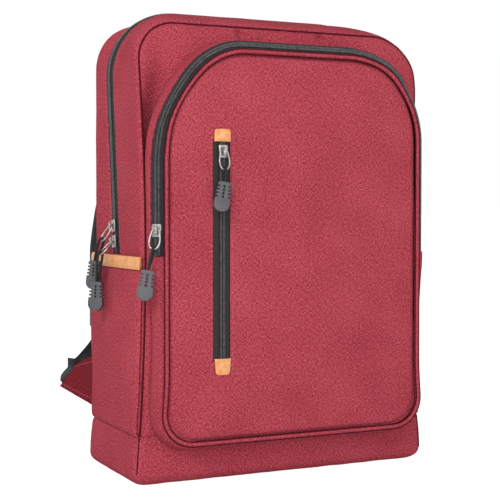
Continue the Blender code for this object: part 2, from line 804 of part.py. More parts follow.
for side, sign in (("left", -1), ("right", 1)):
    columns = []
    for step in range(FLAT_STEPS + TURN_STEPS + 1):
        heights = levels(WALL_LOW, MOUTH_HEIGHT, 5)
        columns.append([pocket_side_place(sign, step, z, 0.0) for z in heights])
    sheet("side_pocket_" + side, columns, CLOTH / 2, RED_CLOTH)
    rings = []
    for step in range(FLAT_STEPS + TURN_STEPS + 1):
        ring = []
        for lift, rise in (
            (SEAM_GAP, -BINDING),
            (SEAM_GAP + LEATHER, -BINDING),
            (SEAM_GAP + LEATHER, LEATHER + SEAM_GAP),
            (-CLOTH / 2, LEATHER + SEAM_GAP),
            (-CLOTH / 2, SEAM_GAP),
            (SEAM_GAP, SEAM_GAP),
        ):
            place = pocket_side_place(sign, step, MOUTH_HEIGHT + min(rise, 0.0), lift)
            ring.append(Vector((place.x, place.y, MOUTH_HEIGHT + rise)))
        rings.append(ring)
    loft("side_binding_" + side, rings, TAN_LEATHER)


# Back padding, shoulder straps, lower webbing and handle

def pad(name, x_mid, z_low, z_high):
    """Moulded back pad with sloping edges."""
    rings = []
    for lift, inset in ((SEAM_GAP, 0.0), (PAD_THICK * 0.6, PAD_SLOPE * 0.2), (PAD_THICK, PAD_SLOPE)):
        half = PAD_WIDTH / 2 - inset
        corner = PAD_CORNER - inset
        quarters = (
            (1, z_low, 1, 270),
            (1, z_high, -1, 0),
            (-1, z_high, -1, 90),
            (-1, z_low, 1, 180),
        )
        ring = []
        for x_sign, z_edge, z_sign, start in quarters:
            for i in range(4):
                angle = math.radians(start + 30 * i)
                x = x_mid + x_sign * (half - corner) + corner * math.cos(angle)
                z = z_edge + z_sign * (inset + corner) + corner * math.sin(angle)
                ring.append(Vector((x, REAR_Y + lift, z)))
        rings.append(ring)
    loft(name, rings, MESH_BLACK)


pad_x = (PAD_WIDTH + PAD_CHANNEL) / 2
for side, sign in (("left", -1), ("right", 1)):
    pad("back_pad_" + side, sign * pad_x, BASE_HEIGHT + PAD_ABOVE_BASE, back_top - PAD_BELOW_TOP)


def bezier(start, leave, arrive, end, count):
    """Places along a smooth curve between two ends and their handles."""
    points = []
    for i in range(count + 1):
        t = i / count
        s = 1 - t
        points.append(start * s**3 + leave * 3 * s * s * t + arrive * 3 * s * t * t + end * t**3)
    return points


def ribbon(points, width, thick, sides, first, last):
    """Sections of a flat strap along a line, with its width directions and its end directions."""
    rings = []
    for i, p in enumerate(points):
        ahead = first
        if i == len(points) - 1:
            ahead = last
        elif i > 0:
            ahead = (points[i + 1] - points[i - 1]).normalized()
        across = (sides[i] - ahead * sides[i].dot(ahead)).normalized()
        out = across.cross(ahead).normalized()
        half = width[i] / 2
        deep = thick[i] / 2
        soft = min(deep, half) * 0.6
        corner = [(half - soft, -deep), (half, -deep + soft), (half, deep - soft), (half - soft, deep)]
        section = corner + [(-a, b) for a, b in reversed(corner)]
        rings.append([p + across * a + out * b for a, b in section])
    return rings


OUT = Vector((0, 1, 0))
UP = Vector((0, 0, 1))
RIGHT = Vector((1, 0, 0))
STRAP_STEPS = 8
WEB_STEPS = 8
strap_y = REAR_Y + STRAP_BOW
strap_end_z = BASE_HEIGHT + STRAP_END_RISE
lock_top = strap_end_z - 2 * SEAM_GAP
lock_low = lock_top - 3 * LOCK_BAR - 2 * LOCK_SLOT
bar_top = lock_top - LOCK_BAR - LOCK_SLOT
strap_width = []
strap_thick = []
for step in range(STRAP_STEPS + 1):
    share = step / STRAP_STEPS
    swell = math.sin(math.pi * share) ** 0.6
    plain = STRAP_ROOT_WIDTH + (STRAP_END_WIDTH - STRAP_ROOT_WIDTH) * share
    strap_width.append(plain + (STRAP_WIDTH - plain) * swell)
    strap_thick.append(STRAP_EDGE_THICK + (STRAP_THICK - STRAP_EDGE_THICK) * swell)

for side, sign in (("left", -1), ("right", 1)):
    root = Vector((sign * STRAP_ROOT_X, REAR_Y + SEAM_GAP, SEAM_HEIGHT - STRAP_ROOT_DROP))
    end = Vector((sign * STRAP_END_X, strap_y, strap_end_z))
    leave = root + OUT * STRAP_BOW * STRAP_LEAVE
    arrive = end + UP * (root.z - end.z) * STRAP_ARRIVE
    points = bezier(root, leave, arrive, end, STRAP_STEPS)
    across = [RIGHT] * len(points)
    rings = ribbon(points, strap_width, strap_thick, across, OUT, -UP)
    loft("shoulder_strap_" + side, rings, MESH_BLACK)

    # Ladder lock: a plastic frame with two slots, hung on the end of the strap
    frame = block(
        "ladder_lock_" + side,
        (end.x - LOCK_WIDTH / 2, strap_y - LOCK_THICK / 2, lock_low),
        (end.x + LOCK_WIDTH / 2, strap_y + LOCK_THICK / 2, lock_top),
        PLASTIC,
        parts,
    )
    slot_half = WEBBING_WIDTH / 2 + SLOT_ROOM
    for k in range(2):
        high = lock_top - LOCK_BAR - k * (LOCK_BAR + LOCK_SLOT)
        slot = block(
            "lock_slot_" + side + "_" + str(k + 1),
            (end.x - slot_half, strap_y - LOCK_THICK, high - LOCK_SLOT),
            (end.x + slot_half, strap_y + LOCK_THICK, high),
            PLASTIC,
            cutters,
        )
        cut(frame, slot)

    # Wing of doubled cloth in the rear seam
    tip = Vector((sign * SIDE_X, REAR_Y + WING_REACH, BASE_HEIGHT + WING_TIP_RISE))
    edge_x, edge_y, edge_z = WING_TIP_EDGE
    tip_edge = Vector((sign * edge_x, edge_y, edge_z)).normalized()
    tip_low = tip + tip_edge * WING_TIP_HALF
    tip_high = tip - tip_edge * WING_TIP_HALF
    seam_turn = math.radians(WING_SEAM_TURN)
    seam_radius = REAR_ROUND + SEAM_GAP + WING
    root_x = sign * (SIDE_X - REAR_ROUND + seam_radius * math.cos(seam_turn))
    root_y = REAR_Y - REAR_ROUND + seam_radius * math.sin(seam_turn)
    root_low = Vector((root_x, root_y, BASE_HEIGHT + WING_ROOT_LOW))
    root_high = Vector((root_x, root_y, BASE_HEIGHT + WING_ROOT_HIGH))
    facing = (tip_low - root_low).cross(root_high - root_low).normalized() * WING / 2
    wing_rings = []
    for low, high in ((root_low, root_high), (tip_low, tip_high)):
        wing_rings.append([low - facing, high - facing, high + facing, low + facing])
    split_bent_faces(loft("strap_wing_" + side, wing_rings, RED_CLOTH))

    # Webbing from the tip of the wing, up behind the lock, over its middle bar and down as a loose tail
    away = tip - (root_low + root_high) / 2
    away = (away - tip_edge * away.dot(tip_edge)).normalized()
    start = tip + away * (SEAM_GAP * 2)
    lift = LOCK_THICK / 2 + WEBBING / 2 + SEAM_GAP
    below = Vector((end.x, strap_y - lift, lock_low - WEBBING))
    leave = start + away * WEBBING_WIDTH
    rising = bezier(start, leave, below - UP * WEBBING_WIDTH, below, WEB_STEPS)
    line = list(rising)
    for i in range(5):
        angle = math.radians(180 - 45 * i)
        turn = Vector((0, lift * math.cos(angle), (WEBBING + LOCK_SLOT) / 3 * math.sin(angle)))
        line.append(Vector((end.x, strap_y, bar_top)) + turn)
    tail = Vector((end.x, strap_y + lift + WEBBING, lock_low))
    line += [tail, tail + OUT * WEBBING - UP * WEBBING_TAIL]
    sides = [(tip_edge * sign).lerp(RIGHT, i / WEB_STEPS) for i in range(WEB_STEPS + 1)]
    sides += [RIGHT] * (len(line) - len(sides))
    count = len(line)
    rings = ribbon(line, [WEBBING_WIDTH] * count, [WEBBING] * count, sides, away, -UP)
    loft("strap_webbing_" + side, rings, WEB_BLACK)

# Haul handle: a loop of folded webbing sewn into the top of the back, hanging behind it
handle_y = REAR_Y + 2 * SEAM_GAP + HANDLE_FOLD / 2
handle_axis = Vector((0, handle_y, back_top - HANDLE_BELOW_TOP))
hang = math.radians(HANDLE_HANG)
outward = Vector((0, math.cos(hang), -math.sin(hang)))
HANDLE_STEPS = 12
line = []
for i in range(HANDLE_STEPS + 1):
    angle = math.pi * i / HANDLE_STEPS
    reach_out = HANDLE_REACH * math.sin(angle) ** 0.7
    line.append(handle_axis + RIGHT * (-HANDLE_SPAN / 2 * math.cos(angle)) + outward * reach_out)
count = len(line)
fold = outward.cross(RIGHT)
rings = ribbon(line, [HANDLE_FOLD] * count, [HANDLE_THICK] * count, [fold] * count, outward, -outward)
loft("haul_handle", rings, WEB_BLACK, handle_axis)


# Zip sliders and pulls, each built in a frame with Y outward and Z along the zip

def zip_frame(place, outward, up):
    across = outward.cross(up).normalized()
    upward = across.cross(outward).normalized()
    turn = Matrix((across, outward.normalized(), upward)).transposed().to_4x4()
    return Matrix.Translation(place) @ turn


def slider(name, frame):
    """Slider: a flanged plate with a bridge that holds the pull ring."""
    base = COIL_PROUD + SLIDER_CLEARANCE
    wide = SLIDER_WIDTH / 2
    inner = COIL_HALF + SLIDER_CLEARANCE
    skirt = COIL_PROUD - 0.0005
    rings = []
    for z, scale in ((-0.5, 0.80), (-0.1, 0.86), (0.28, 1.0), (0.5, 0.84)):
        w = inner + (wide - inner) * (0.4 + 0.6 * (scale - 0.8) / 0.2) + 0.0002
        ring = [
            (-w, base - skirt),
            (-w, base + SLIDER_PLATE * 0.6),
            (-w * 0.8, base + SLIDER_PLATE),
            (w * 0.8, base + SLIDER_PLATE),
            (w, base + SLIDER_PLATE * 0.6),
            (w, base - skirt),
            (inner, base - skirt),
            (inner, base),
            (-inner, base),
            (-inner, base - skirt),
        ]
        rings.append([frame @ Vector((x, y, z * SLIDER_LENGTH)) for x, y in ring])
    origin = frame.translation
    body = loft(name, rings, METAL, origin)
    foot = base + SLIDER_PLATE * 0.5
    inside = base + SLIDER_PLATE + WIRE + 2 * SEAM_GAP + 0.0002
    long = SLIDER_LENGTH * 0.36
    opening = long - BRIDGE_WALL
    profile = [
        (-long, foot),
        (-long, inside),
        (-long * 0.6, inside + BRIDGE_WALL),
        (long * 0.6, inside + BRIDGE_WALL),
        (long, inside),
        (long, foot),
        (opening, foot),
        (opening, inside - 0.0004),
        (opening * 0.5, inside),
        (-opening * 0.5, inside),
        (-opening, inside - 0.0004),
        (-opening, foot),
    ]
    ends = []
    for x in (-BRIDGE_WIDTH / 2, BRIDGE_WIDTH / 2):
        ends.append([frame @ Vector((x, y, z)) for z, y in profile])
    crown = loft(name + "_crown", ends, METAL, collection=cutters)
    crown.hide_render = True
    crown.display_type = "WIRE"
    joined = body.modifiers.new("crown", "BOOLEAN")
    joined.operation = "UNION"
    joined.solver = "EXACT"
    joined.object = crown


def pull(name, place, ring_down, cord_down, grip_down, across):
    """Wire ring, cord loop and notched grip that hang from a slider bridge."""
    ring_axis = (across - ring_down * across.dot(ring_down)).normalized()
    top = RING_WIDTH * 0.27
    wide = RING_WIDTH / 2 - WIRE / 2
    long = RING_LENGTH - WIRE
    half_shape = [
        (top, 0.0),
        (wide * 0.82, long * 0.20),
        (wide, long * 0.50),
        (wide * 0.94, long * 0.74),
        (wide * 0.66, long * 0.92),
        (wide * 0.25, long),
    ]
    shape = half_shape + [(-a, b) for a, b in reversed(half_shape)]
    line = [place + ring_axis * a + ring_down * b for a, b in shape]
    tube("ring_" + name, line, WIRE / 2, METAL, place, closed=True, sides=1)

    hang = place + ring_down * long
    held = hang + cord_down * CORD_LEG
    bow = (ring_down + cord_down).normalized()
    loop = ring_axis.cross(bow).normalized()
    grip_axis = (across - grip_down * across.dot(grip_down)).normalized()
    thick = grip_axis.cross(grip_down).normalized()
    bend = WIRE / 2 + CORD / 2 + SEAM_GAP
    leg = CORD / 2 + SEAM_GAP / 2
    half_way = hang + cord_down * CORD_LEG * 0.5
    line = [held + thick * leg, held - grip_down * CORD / 2 + thick * leg, half_way + loop * bend * 0.9]
    for i in range(7):
        angle = math.radians(30 * i)
        line.append(hang + loop * bend * math.cos(angle) - bow * bend * math.sin(angle))
    line += [half_way - loop * bend * 0.9, held - grip_down * CORD / 2 - thick * leg, held - thick * leg]
    tube("cord_" + name, line, CORD / 2, CORD_BLACK, hang, sides=2)

    neck = GRIP_WIDTH / 2
    bulb = BULB_WIDTH / 2
    edge = [(neck * 0.8, 0.0), (neck, GRIP_LENGTH * 0.06)]
    pitch = GRIP_LENGTH * 0.115
    for i in range(NOTCH_COUNT):
        low = GRIP_LENGTH * 0.10 + i * pitch
        grow = neck + (bulb - neck) * (0.10 + 0.17 * i)
        edge.append((grow, low))
        edge.append((grow - NOTCH, low + pitch * 0.3))
        edge.append((grow - NOTCH, low + pitch * 0.6))
        edge.append((grow + 0.0002, low + pitch * 0.9))
    round_at = GRIP_LENGTH - bulb * 0.95
    for degrees in (0, 25, 50, 75):
        angle = math.radians(degrees)
        edge.append((bulb * math.cos(angle), round_at + bulb * 0.95 * math.sin(angle)))
    outline = edge + [(-a, b) for a, b in reversed(edge)]
    rings = []
    for depth, scale in ((-0.5, 0.86), (-0.3, 1.0), (0.3, 1.0), (0.5, 0.86)):
        ring = []
        for a, b in outline:
            away = GRIP_LENGTH / 2 + (b - GRIP_LENGTH / 2) * (1 - (1 - scale) * 0.35)
            down = grip_down * (SEAM_GAP + away)
            ring.append(held + down + grip_axis * a * scale + thick * GRIP_THICK * depth)
        rings.append(ring)
    loft("grip_" + name, rings, RUBBER, hang)


def direction(frame, sideways, outward):
    """Unit direction down the zip, swung sideways in its plane and lifted outward, in degrees."""
    a = math.radians(sideways)
    b = math.radians(outward)
    local = Vector((math.sin(a) * math.cos(b), math.sin(b), -math.cos(a) * math.cos(b)))
    return (frame.to_3x3() @ local).normalized()


def slider_and_pull(name, frame, ring_angles, cord_angles, grip_angles):
    slider("slider_" + name, frame)
    place = frame @ Vector((0, PULL_AXIS, 0))
    downs = [direction(frame, *angles) for angles in (ring_angles, cord_angles, grip_angles)]
    pull(name, place, *downs, direction(frame, ring_angles[0] + 90, 0))


main_up = Vector((0, zip_y(FOLD_HEIGHT) - zip_y(ZIP_END), FOLD_HEIGHT - ZIP_END)).normalized()
low_z = ZIP_END + PARKING
for name, z, angles in (
    ("main_lower", low_z, ((6, 44), (6, 8), (4, 4))),
    ("main_upper", low_z + SLIDER_SPACING, ((22, 30), (50, 8), (10, 4))),
):
    place = Vector((-SIDE_X, zip_y(z), z))
    slider_and_pull(name, zip_frame(place, Vector((-1, 0, 0)), main_up), *angles)

shoulder_inset, shoulder_y = shoulder_place(0.0, 0.0)
shoulder_out = Vector((-ALONG.y, -ALONG.x, 0))
place = Vector((-POCKET_WIDTH / 2 + shoulder_inset, shoulder_y, low_z + SLIDER_SPACING * 0.8))
slider_and_pull("pocket", zip_frame(place, shoulder_out, Vector((0, 0, 1))), (3, 16), (22, 8), (6, 5))

place = Vector((QUICK_X, quick_y, QUICK_TOP - QUICK_PARKING - SLIDER_LENGTH / 2))
slider_and_pull("quick", zip_frame(place, Vector((0, -1, 0)), Vector((0, 0, 1))), (3, 12), (0, 8), (1, 6))
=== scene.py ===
"""Looks of the travel backpack: heathered cloth, zips, leather trims, moulded pulls, pads and straps."""

import functools
import math

import bmesh
import bpy
from mathutils import Matrix, Vector, noise


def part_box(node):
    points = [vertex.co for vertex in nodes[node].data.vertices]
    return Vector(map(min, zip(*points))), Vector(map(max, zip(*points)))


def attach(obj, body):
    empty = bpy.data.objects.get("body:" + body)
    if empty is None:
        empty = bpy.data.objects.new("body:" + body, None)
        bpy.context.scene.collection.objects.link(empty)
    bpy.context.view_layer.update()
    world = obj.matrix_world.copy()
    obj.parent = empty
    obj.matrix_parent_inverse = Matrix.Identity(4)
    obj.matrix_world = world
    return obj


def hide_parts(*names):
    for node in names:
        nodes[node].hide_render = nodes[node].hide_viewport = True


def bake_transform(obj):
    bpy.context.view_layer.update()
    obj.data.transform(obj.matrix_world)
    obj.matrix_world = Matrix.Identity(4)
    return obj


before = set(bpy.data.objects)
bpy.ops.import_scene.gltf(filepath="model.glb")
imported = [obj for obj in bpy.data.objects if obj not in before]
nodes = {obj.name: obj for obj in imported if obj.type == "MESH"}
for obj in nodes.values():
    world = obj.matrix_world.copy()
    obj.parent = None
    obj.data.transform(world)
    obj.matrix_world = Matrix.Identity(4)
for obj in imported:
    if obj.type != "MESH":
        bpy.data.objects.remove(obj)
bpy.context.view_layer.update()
scene = bpy.context.scene
scene.view_settings.view_transform = "Standard"


# Camera: it stands in front of the bag, off to its left and a little above, as the photographer did.
# A long lens keeps the bag's upright edges nearly parallel.
TURN = math.radians(-25.57)
RISE = math.radians(1.705)
RANGE = 1.241
AIM = Vector((0.0, 0.0, 0.22))

toward = Vector((math.sin(TURN) * math.cos(RISE), -math.cos(TURN) * math.cos(RISE), math.sin(RISE)))
lens = bpy.data.cameras.new("camera")
lens.lens = 87.54
lens.sensor_width = 36.0
lens.sensor_fit = "HORIZONTAL"
lens.shift_x = 0.0004
lens.shift_y = -0.0145
camera = bpy.data.objects.new("camera", lens)
camera.location = AIM + toward * RANGE
camera.rotation_euler = (-toward).to_track_quat("-Z", "Y").to_euler()
scene.collection.objects.link(camera)
scene.camera = camera


# Studio: a pale paper sweep under soft light, so the bag stands on white with a faint shadow.
# A large key lamp stands at the upper left front, and weaker ones fill from the right, from low in front
# and from behind.
FLOOR_HALF = 30.0
FLOOR_GLOW = 0.84
AMBIENT = 0.36
PAPER = "#E4E4E4"
LAMPS = (
    ("key", (-2.0, -1.9, 1.9), 1.4, 49.0),
    ("fill", (1.4, -2.2, 0.5), 1.4, 9.0),
    ("low", (-0.7, -2.0, 0.35), 1.0, 15.0),
    ("rear", (-2.3, 0.9, 1.4), 1.4, 10.0),
)


def linear(hex_colour):
    """Linear colour of an sRGB hex value."""
    parts = [int(hex_colour[i : i + 2], 16) / 255 for i in (1, 3, 5)]
    return tuple(p / 12.92 if p <= 0.04045 else ((p + 0.055) / 1.055) ** 2.4 for p in parts) + (1.0,)


def add_node(tree, kind, settings=None, links=None):
    """Adds a node; settings name its properties or input sockets, links lead sockets into its inputs."""
    node = tree.nodes.new(kind)
    for key, value in (settings or {}).items():
        if isinstance(key, str) and hasattr(node, key):
            setattr(node, key, value)
        else:
            node.inputs[key].default_value = value
    for key, source in (links or {}).items():
        tree.links.new(source, node.inputs[key])
    return node


def new_tree(owner):
    """An empty node tree of a material or world."""
    owner.use_nodes = True
    owner.node_tree.nodes.clear()
    return owner.node_tree


def seen_ray(tree):
    """One where the camera, a mirror or clear stuff looks, and none for the light on the bag."""
    path = add_node(tree, "ShaderNodeLightPath")
    plain = {0: path.outputs["Is Camera Ray"], 1: path.outputs["Is Glossy Ray"]}
    mirror = add_node(tree, "ShaderNodeMath", {"operation": "MAXIMUM"}, plain)
    clear = {0: mirror.outputs[0], 1: path.outputs["Is Transmission Ray"]}
    return add_node(tree, "ShaderNodeMath", {"operation": "MAXIMUM"}, clear).outputs[0]


world = bpy.data.worlds.new("studio")
scene.world = world
tree = new_tree(world)
strength = {"operation": "MULTIPLY_ADD", 1: 1.0 - AMBIENT, 2: AMBIENT}
level = add_node(tree, "ShaderNodeMath", strength, {0: seen_ray(tree)})
sky = add_node(tree, "ShaderNodeBackground", {"Color": (1, 1, 1, 1)}, {"Strength": level.outputs[0]})
add_node(tree, "ShaderNodeOutputWorld", links={"Surface": sky.outputs[0]})

paper = bpy.data.materials.new("studio_paper")
tree = new_tree(paper)
glow = add_node(tree, "ShaderNodeMath", {"operation": "MULTIPLY", 1: FLOOR_GLOW}, {0: seen_ray(tree)})
shine = add_node(tree, "ShaderNodeEmission", links={"Strength": glow.outputs[0]})
matt = add_node(tree, "ShaderNodeBsdfDiffuse", {"Color": linear(PAPER)})
both = add_node(tree, "ShaderNodeAddShader", links={0: matt.outputs[0], 1: shine.outputs[0]})
add_node(tree, "ShaderNodeOutputMaterial", links={"Surface": both.outputs[0]})

sweep = bpy.data.meshes.new("floor")
corners = [(-1, -1, 0), (1, -1, 0), (1, 1, 0), (-1, 1, 0)]
sweep.from_pydata([Vector(c) * FLOOR_HALF for c in corners], [], [(0, 1, 2, 3)])
sweep.materials.append(paper)
floor = bpy.data.objects.new("floor", sweep)
scene.collection.objects.link(floor)

for name, stand, size, power in LAMPS:
    light = bpy.data.lights.new(name, "AREA")
    light.size = size
    light.energy = power
    lamp = bpy.data.objects.new(name, light)
    lamp.location = stand
    lamp.rotation_euler = (AIM - lamp.location).to_track_quat("-Z", "Y").to_euler()
    scene.collection.objects.link(lamp)


# Base boot: a tray of heathered red polyester that wraps the bottom of the bag, sewn to the walls above it
# with one row of topstitching. The cloth is woven from light and dark yarns, backed with a dark lining.
_, base_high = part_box("base_panel")
SIDE_X, REAR_Y, BASE_HEIGHT = base_high
SEAM_HEIGHT = 0.430
FRONT_Y = -REAR_Y
FRONT_BULGE = 0.022
BASE_ROUND = 0.011
FRONT_CORNER = 0.008
REAR_ROUND = 0.020
CLOTH = 0.0024
SPREAD = 0.0075
SPREAD_HEIGHT = 0.110
BASE_PUSH = 0.017
SEAM_DIP = 0.0025
SEAM_ROLL = 0.0042
HEM_DIP = 0.0007
HEM_ROLL = 0.0024
CREASE_FREE = 0.022
YARN = 0.0006
SLUB = 0.0022
MELANGE_COLOURS = ((0.33, "#5F1A29"), (0.50, "#AB3E4B"), (0.67, "#CE6872"))
LINING_COLOUR = "#2B2A2C"


def surface(tree, settings, links):
    """Principled surface of a material, joined to the material's output."""
    shader = add_node(tree, "ShaderNodeBsdfPrincipled", settings, links)
    add_node(tree, "ShaderNodeOutputMaterial", links={"Surface": shader.outputs[0]})


def set_ramp(node, stops):
    """Gives a colour ramp its places and sRGB colours."""
    ramp = node.color_ramp
    while len(ramp.elements) < len(stops):
        ramp.elements.new(0.5)
    for element, (place, colour) in zip(ramp.elements, stops):
        element.position = place
        element.color = linear(colour)


# Melange polyester: matt, with short light and dark stretches of yarn both ways.
# The yarn is drawn about twice as coarse as it is, so that it shows.
def woven(name, colours):
    """Cloth woven from yarns of the given dark, middle and light colours."""
    cloth = bpy.data.materials.new(name)
    tree = new_tree(cloth)
    spot = add_node(tree, "ShaderNodeUVMap", {"uv_map": "cloth"})
    yarns = []
    for scale in ((1 / YARN, 1 / SLUB, 1.0), (1 / SLUB, 1 / YARN, 1.0)):
        stretched = add_node(tree, "ShaderNodeMapping", {"Scale": scale}, {"Vector": spot.outputs[0]})
        settings = {"noise_dimensions": "2D", "Scale": 1.0, "Detail": 2.0, "Roughness": 0.6}
        yarns.append(add_node(tree, "ShaderNodeTexNoise", settings, {"Vector": stretched.outputs[0]}))
    crossed = {0: yarns[0].outputs[0], 1: yarns[1].outputs[0]}
    pair = add_node(tree, "ShaderNodeMath", {"operation": "ADD"}, crossed)
    settings = {"noise_dimensions": "2D", "Scale": 22.0, "Detail": 3.0}
    patch = add_node(tree, "ShaderNodeTexNoise", settings, {"Vector": spot.outputs[0]})
    settings = {"operation": "MULTIPLY_ADD", 1: 0.08, 2: -0.04}
    faded = add_node(tree, "ShaderNodeMath", settings, {0: patch.outputs[0]})
    settings = {"operation": "MULTIPLY_ADD", 1: 0.5}
    fleck = add_node(tree, "ShaderNodeMath", settings, {0: pair.outputs[0], 2: faded.outputs[0]})
    dye = add_node(tree, "ShaderNodeValToRGB", links={"Fac": fleck.outputs[0]})
    set_ramp(dye, colours)
    settings = {"Strength": 0.35, "Distance": 0.0006}
    bump = add_node(tree, "ShaderNodeBump", settings, {"Height": pair.outputs[0]})
    settings = {"Roughness": 0.95, "Specular IOR Level": 0.04}
    surface(tree, settings, {"Base Color": dye.outputs[0], "Normal": bump.outputs[0]})
    return cloth


melange = woven("melange_polyester", MELANGE_COLOURS)


def patterned(name, pattern, stops, finish, bump=None, relief=None, on_cloth=False):
    """Material coloured by a pattern, which also gives its relief unless another pattern does."""
    material = bpy.data.materials.new(name)
    tree = new_tree(material)
    if on_cloth:
        spot = add_node(tree, "ShaderNodeUVMap", {"uv_map": "cloth"}).outputs[0]
    else:
        spot = add_node(tree, "ShaderNodeTexCoord").outputs["Object"]
    grain = add_node(tree, "ShaderNodeTex" + pattern[0], pattern[1], {"Vector": spot}).outputs[0]
    dye = add_node(tree, "ShaderNodeValToRGB", links={"Fac": grain})
    set_ramp(dye, stops)
    links = {"Base Color": dye.outputs[0]}
    if relief:
        ribs = add_node(tree, "ShaderNodeTex" + relief[0], relief[1], {"Vector": spot})
        grain = ribs.outputs[1 if relief[0] == "Wave" else 0]
    if bump:
        settings = {"Strength": bump[0], "Distance": bump[1]}
        links["Normal"] = add_node(tree, "ShaderNodeBump", settings, {"Height": grain}).outputs[0]
    surface(tree, finish, links)
    return material


# Lining: thin plain-woven polyester in charcoal, a little slicker than the face cloth.
lining = patterned(
    "lining_polyester",
    ("Noise", {"Scale": 420.0, "Detail": 2.0}),
    ((0.35, "#222123"), (0.65, LINING_COLOUR)),
    {"Roughness": 0.62, "Specular IOR Level": 0.35},
    (0.2, 0.0004),
)


def smooth(share):
    """Eased step from none to one."""
    share = min(1.0, max(0.0, share))
    return share * share * (3.0 - 2.0 * share)


def levels(low, high, step):
    """Even values from low to high, about a step apart, both ends included."""
    count = max(1, round(abs(high - low) / step))
    return [low + (high - low) * i / count for i in range(count + 1)]


def front_y(z):
    """Front of the bag at a height: bulged by its load, which also settles forward at the base."""
    settled = BASE_PUSH * (1 - smooth(z / SPREAD_HEIGHT))
    return FRONT_Y - FRONT_BULGE * math.sin(math.pi * min(max(z / SEAM_HEIGHT, 0.0), 1.0)) - settled


def new_piece(name, mesh, *materials):
    """An object at the origin that holds a finished mesh and its materials."""
    mesh.materials.clear()
    for material in materials:
        mesh.materials.append(material)
    for face in mesh.polygons:
        face.use_smooth = True
    thing = bpy.data.objects.new(name, mesh)
    scene.collection.objects.link(thing)
    return thing


def settle(thing):
    """Applies a piece's modifiers to its mesh."""
    graph = bpy.context.evaluated_depsgraph_get()
    mesh = bpy.data.meshes.new_from_object(thing.evaluated_get(graph))
    thing.modifiers.clear()
    thing.data = mesh
    return thing


def run_lengths(points):
    """Length along a line of points, counted from its middle point."""
    total = [0.0]
    for a, b in zip(points, points[1:]):
        total.append(total[-1] + (b - a).length)
    middle = total[len(total) // 2]
    return [t - middle for t in total]


def spread(p):
    """The sides spread a little toward the base, where the load settles."""
    return Vector((p.x * (1 + SPREAD / SIDE_X * smooth((SPREAD_HEIGHT - p.z) / SPREAD_HEIGHT)), p.y, p.z))


def grid_mesh(name, rows, closed=False, caps=False, hole=None):
    """Surface through rows of points, with a UV map in metres along and across the rows."""
    rows = [[spread(p) for p in row] for row in rows]
    width = len(rows[0])
    mesh = bpy.data.meshes.new(name)
    faces = []
    spots = []
    middle = run_lengths([row[width // 2] for row in rows])
    places = [run_lengths(row + row[:1]) for row in rows]
    for i in range(len(rows) - 1):
        for j in range(width if closed else width - 1):
            k = (j + 1) % width
            corners = [(i, j), (i, k), (i + 1, k), (i + 1, j)]
            if hole and hole(sum((rows[r][c] for r, c in corners), Vector()) / 4):
                continue
            faces.append([r * width + c for r, c in corners])
            columns = (j, j + 1, j + 1, j)
            spots += [(places[r][c], middle[r]) for (r, _), c in zip(corners, columns)]
    if caps:
        for r in (0, len(rows) - 1):
            ring = list(range(r * width, (r + 1) * width))
            faces.append(ring if r else ring[::-1])
            spots += [(p.x, p.z) for p in (rows[r] if r else rows[r][::-1])]
    mesh.from_pydata([p for row in rows for p in row], [], faces)
    layer = mesh.uv_layers.new(name="cloth")
    for loop, spot in zip(layer.data, spots):
        loop.uv = spot
    return mesh


def mend(mesh, merge):
    """Merges points that lie together and turns the faces of a closed mesh outward."""
    work = bmesh.new()
    work.from_mesh(mesh)
    if merge:
        bmesh.ops.remove_doubles(work, verts=work.verts, dist=merge)
    bmesh.ops.recalc_face_normals(work, faces=work.faces)
    work.to_mesh(mesh)
    work.free()
    return mesh


def solid_mesh(name, rings):
    """Closed skin through rings of points, with its ends capped."""
    return mend(grid_mesh(name, rings, closed=True, caps=True), 0)


def signed_power(value, power):
    """Power of a value that keeps its sign; it squares off a round section."""
    return math.copysign(abs(value) ** power, value)


def face_outward(mesh, inner=Vector((0.0, 0.0, 0.22))):
    """Turns a mesh over if most of it faces its inside."""
    if sum(f.normal.dot(f.center - inner) * f.area for f in mesh.polygons) < 0:
        mesh.flip_normals()


def cloth_panel(name, rows, edges, crumple=0.0012, shape=None, thick=CLOTH, **form):
    """Sewn cloth panel: rolls in at its seams and hems, crumples softly between them, and has a lining."""
    mesh = grid_mesh(name, rows, **form)
    face_outward(mesh)
    normals = [v.normal.copy() for v in mesh.vertices]
    for v, normal in zip(mesh.vertices, normals):
        gaps = [gap(v.co) for gap, _, _ in edges]
        push = sum(-dip * (1 - smooth(g / roll)) for g, (_, dip, roll) in zip(gaps, edges))
        free = smooth(min(gaps + [1.0]) / CREASE_FREE)
        push += crumple * free * (noise.noise(v.co * 9.0) + 0.5 * noise.noise(v.co * 23.0))
        push += 0.0004 * (1 - free) * noise.noise(v.co * 75.0)
        if shape:
            push += shape(v.co)
        v.co += normal * push
    thing = new_piece(name, mesh, melange, lining)
    wall = thing.modifiers.new("wall", "SOLIDIFY")
    wall.thickness = thick
    wall.offset = -1.0
    wall.material_offset = 1
    settle(thing)
    thing.data.set_sharp_from_angle(angle=math.radians(55))
    return thing


def place(thing, body, slot, *stands_for):
    """Ties a finished piece to its body, or only fixes its place when given a pair of bodies, and hides the
    solids it stands for. The slot is not used.
    """
    if isinstance(body, str):
        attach(thing, body)
    else:
        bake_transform(thing)
    if stands_for:
        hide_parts(*stands_for)
    return thing


def crease(p, start, end, depth, width):
    """Depth at a place of a soft crease between two points."""
    a = Vector(start)
    line = Vector(end) - a
    share = min(1.0, max(0.0, (p - a).dot(line) / line.length_squared))
    away = (p - a - line * share).length
    return -depth * math.sin(math.pi * (0.1 + 0.8 * share)) * math.exp(-((away / width) ** 2))


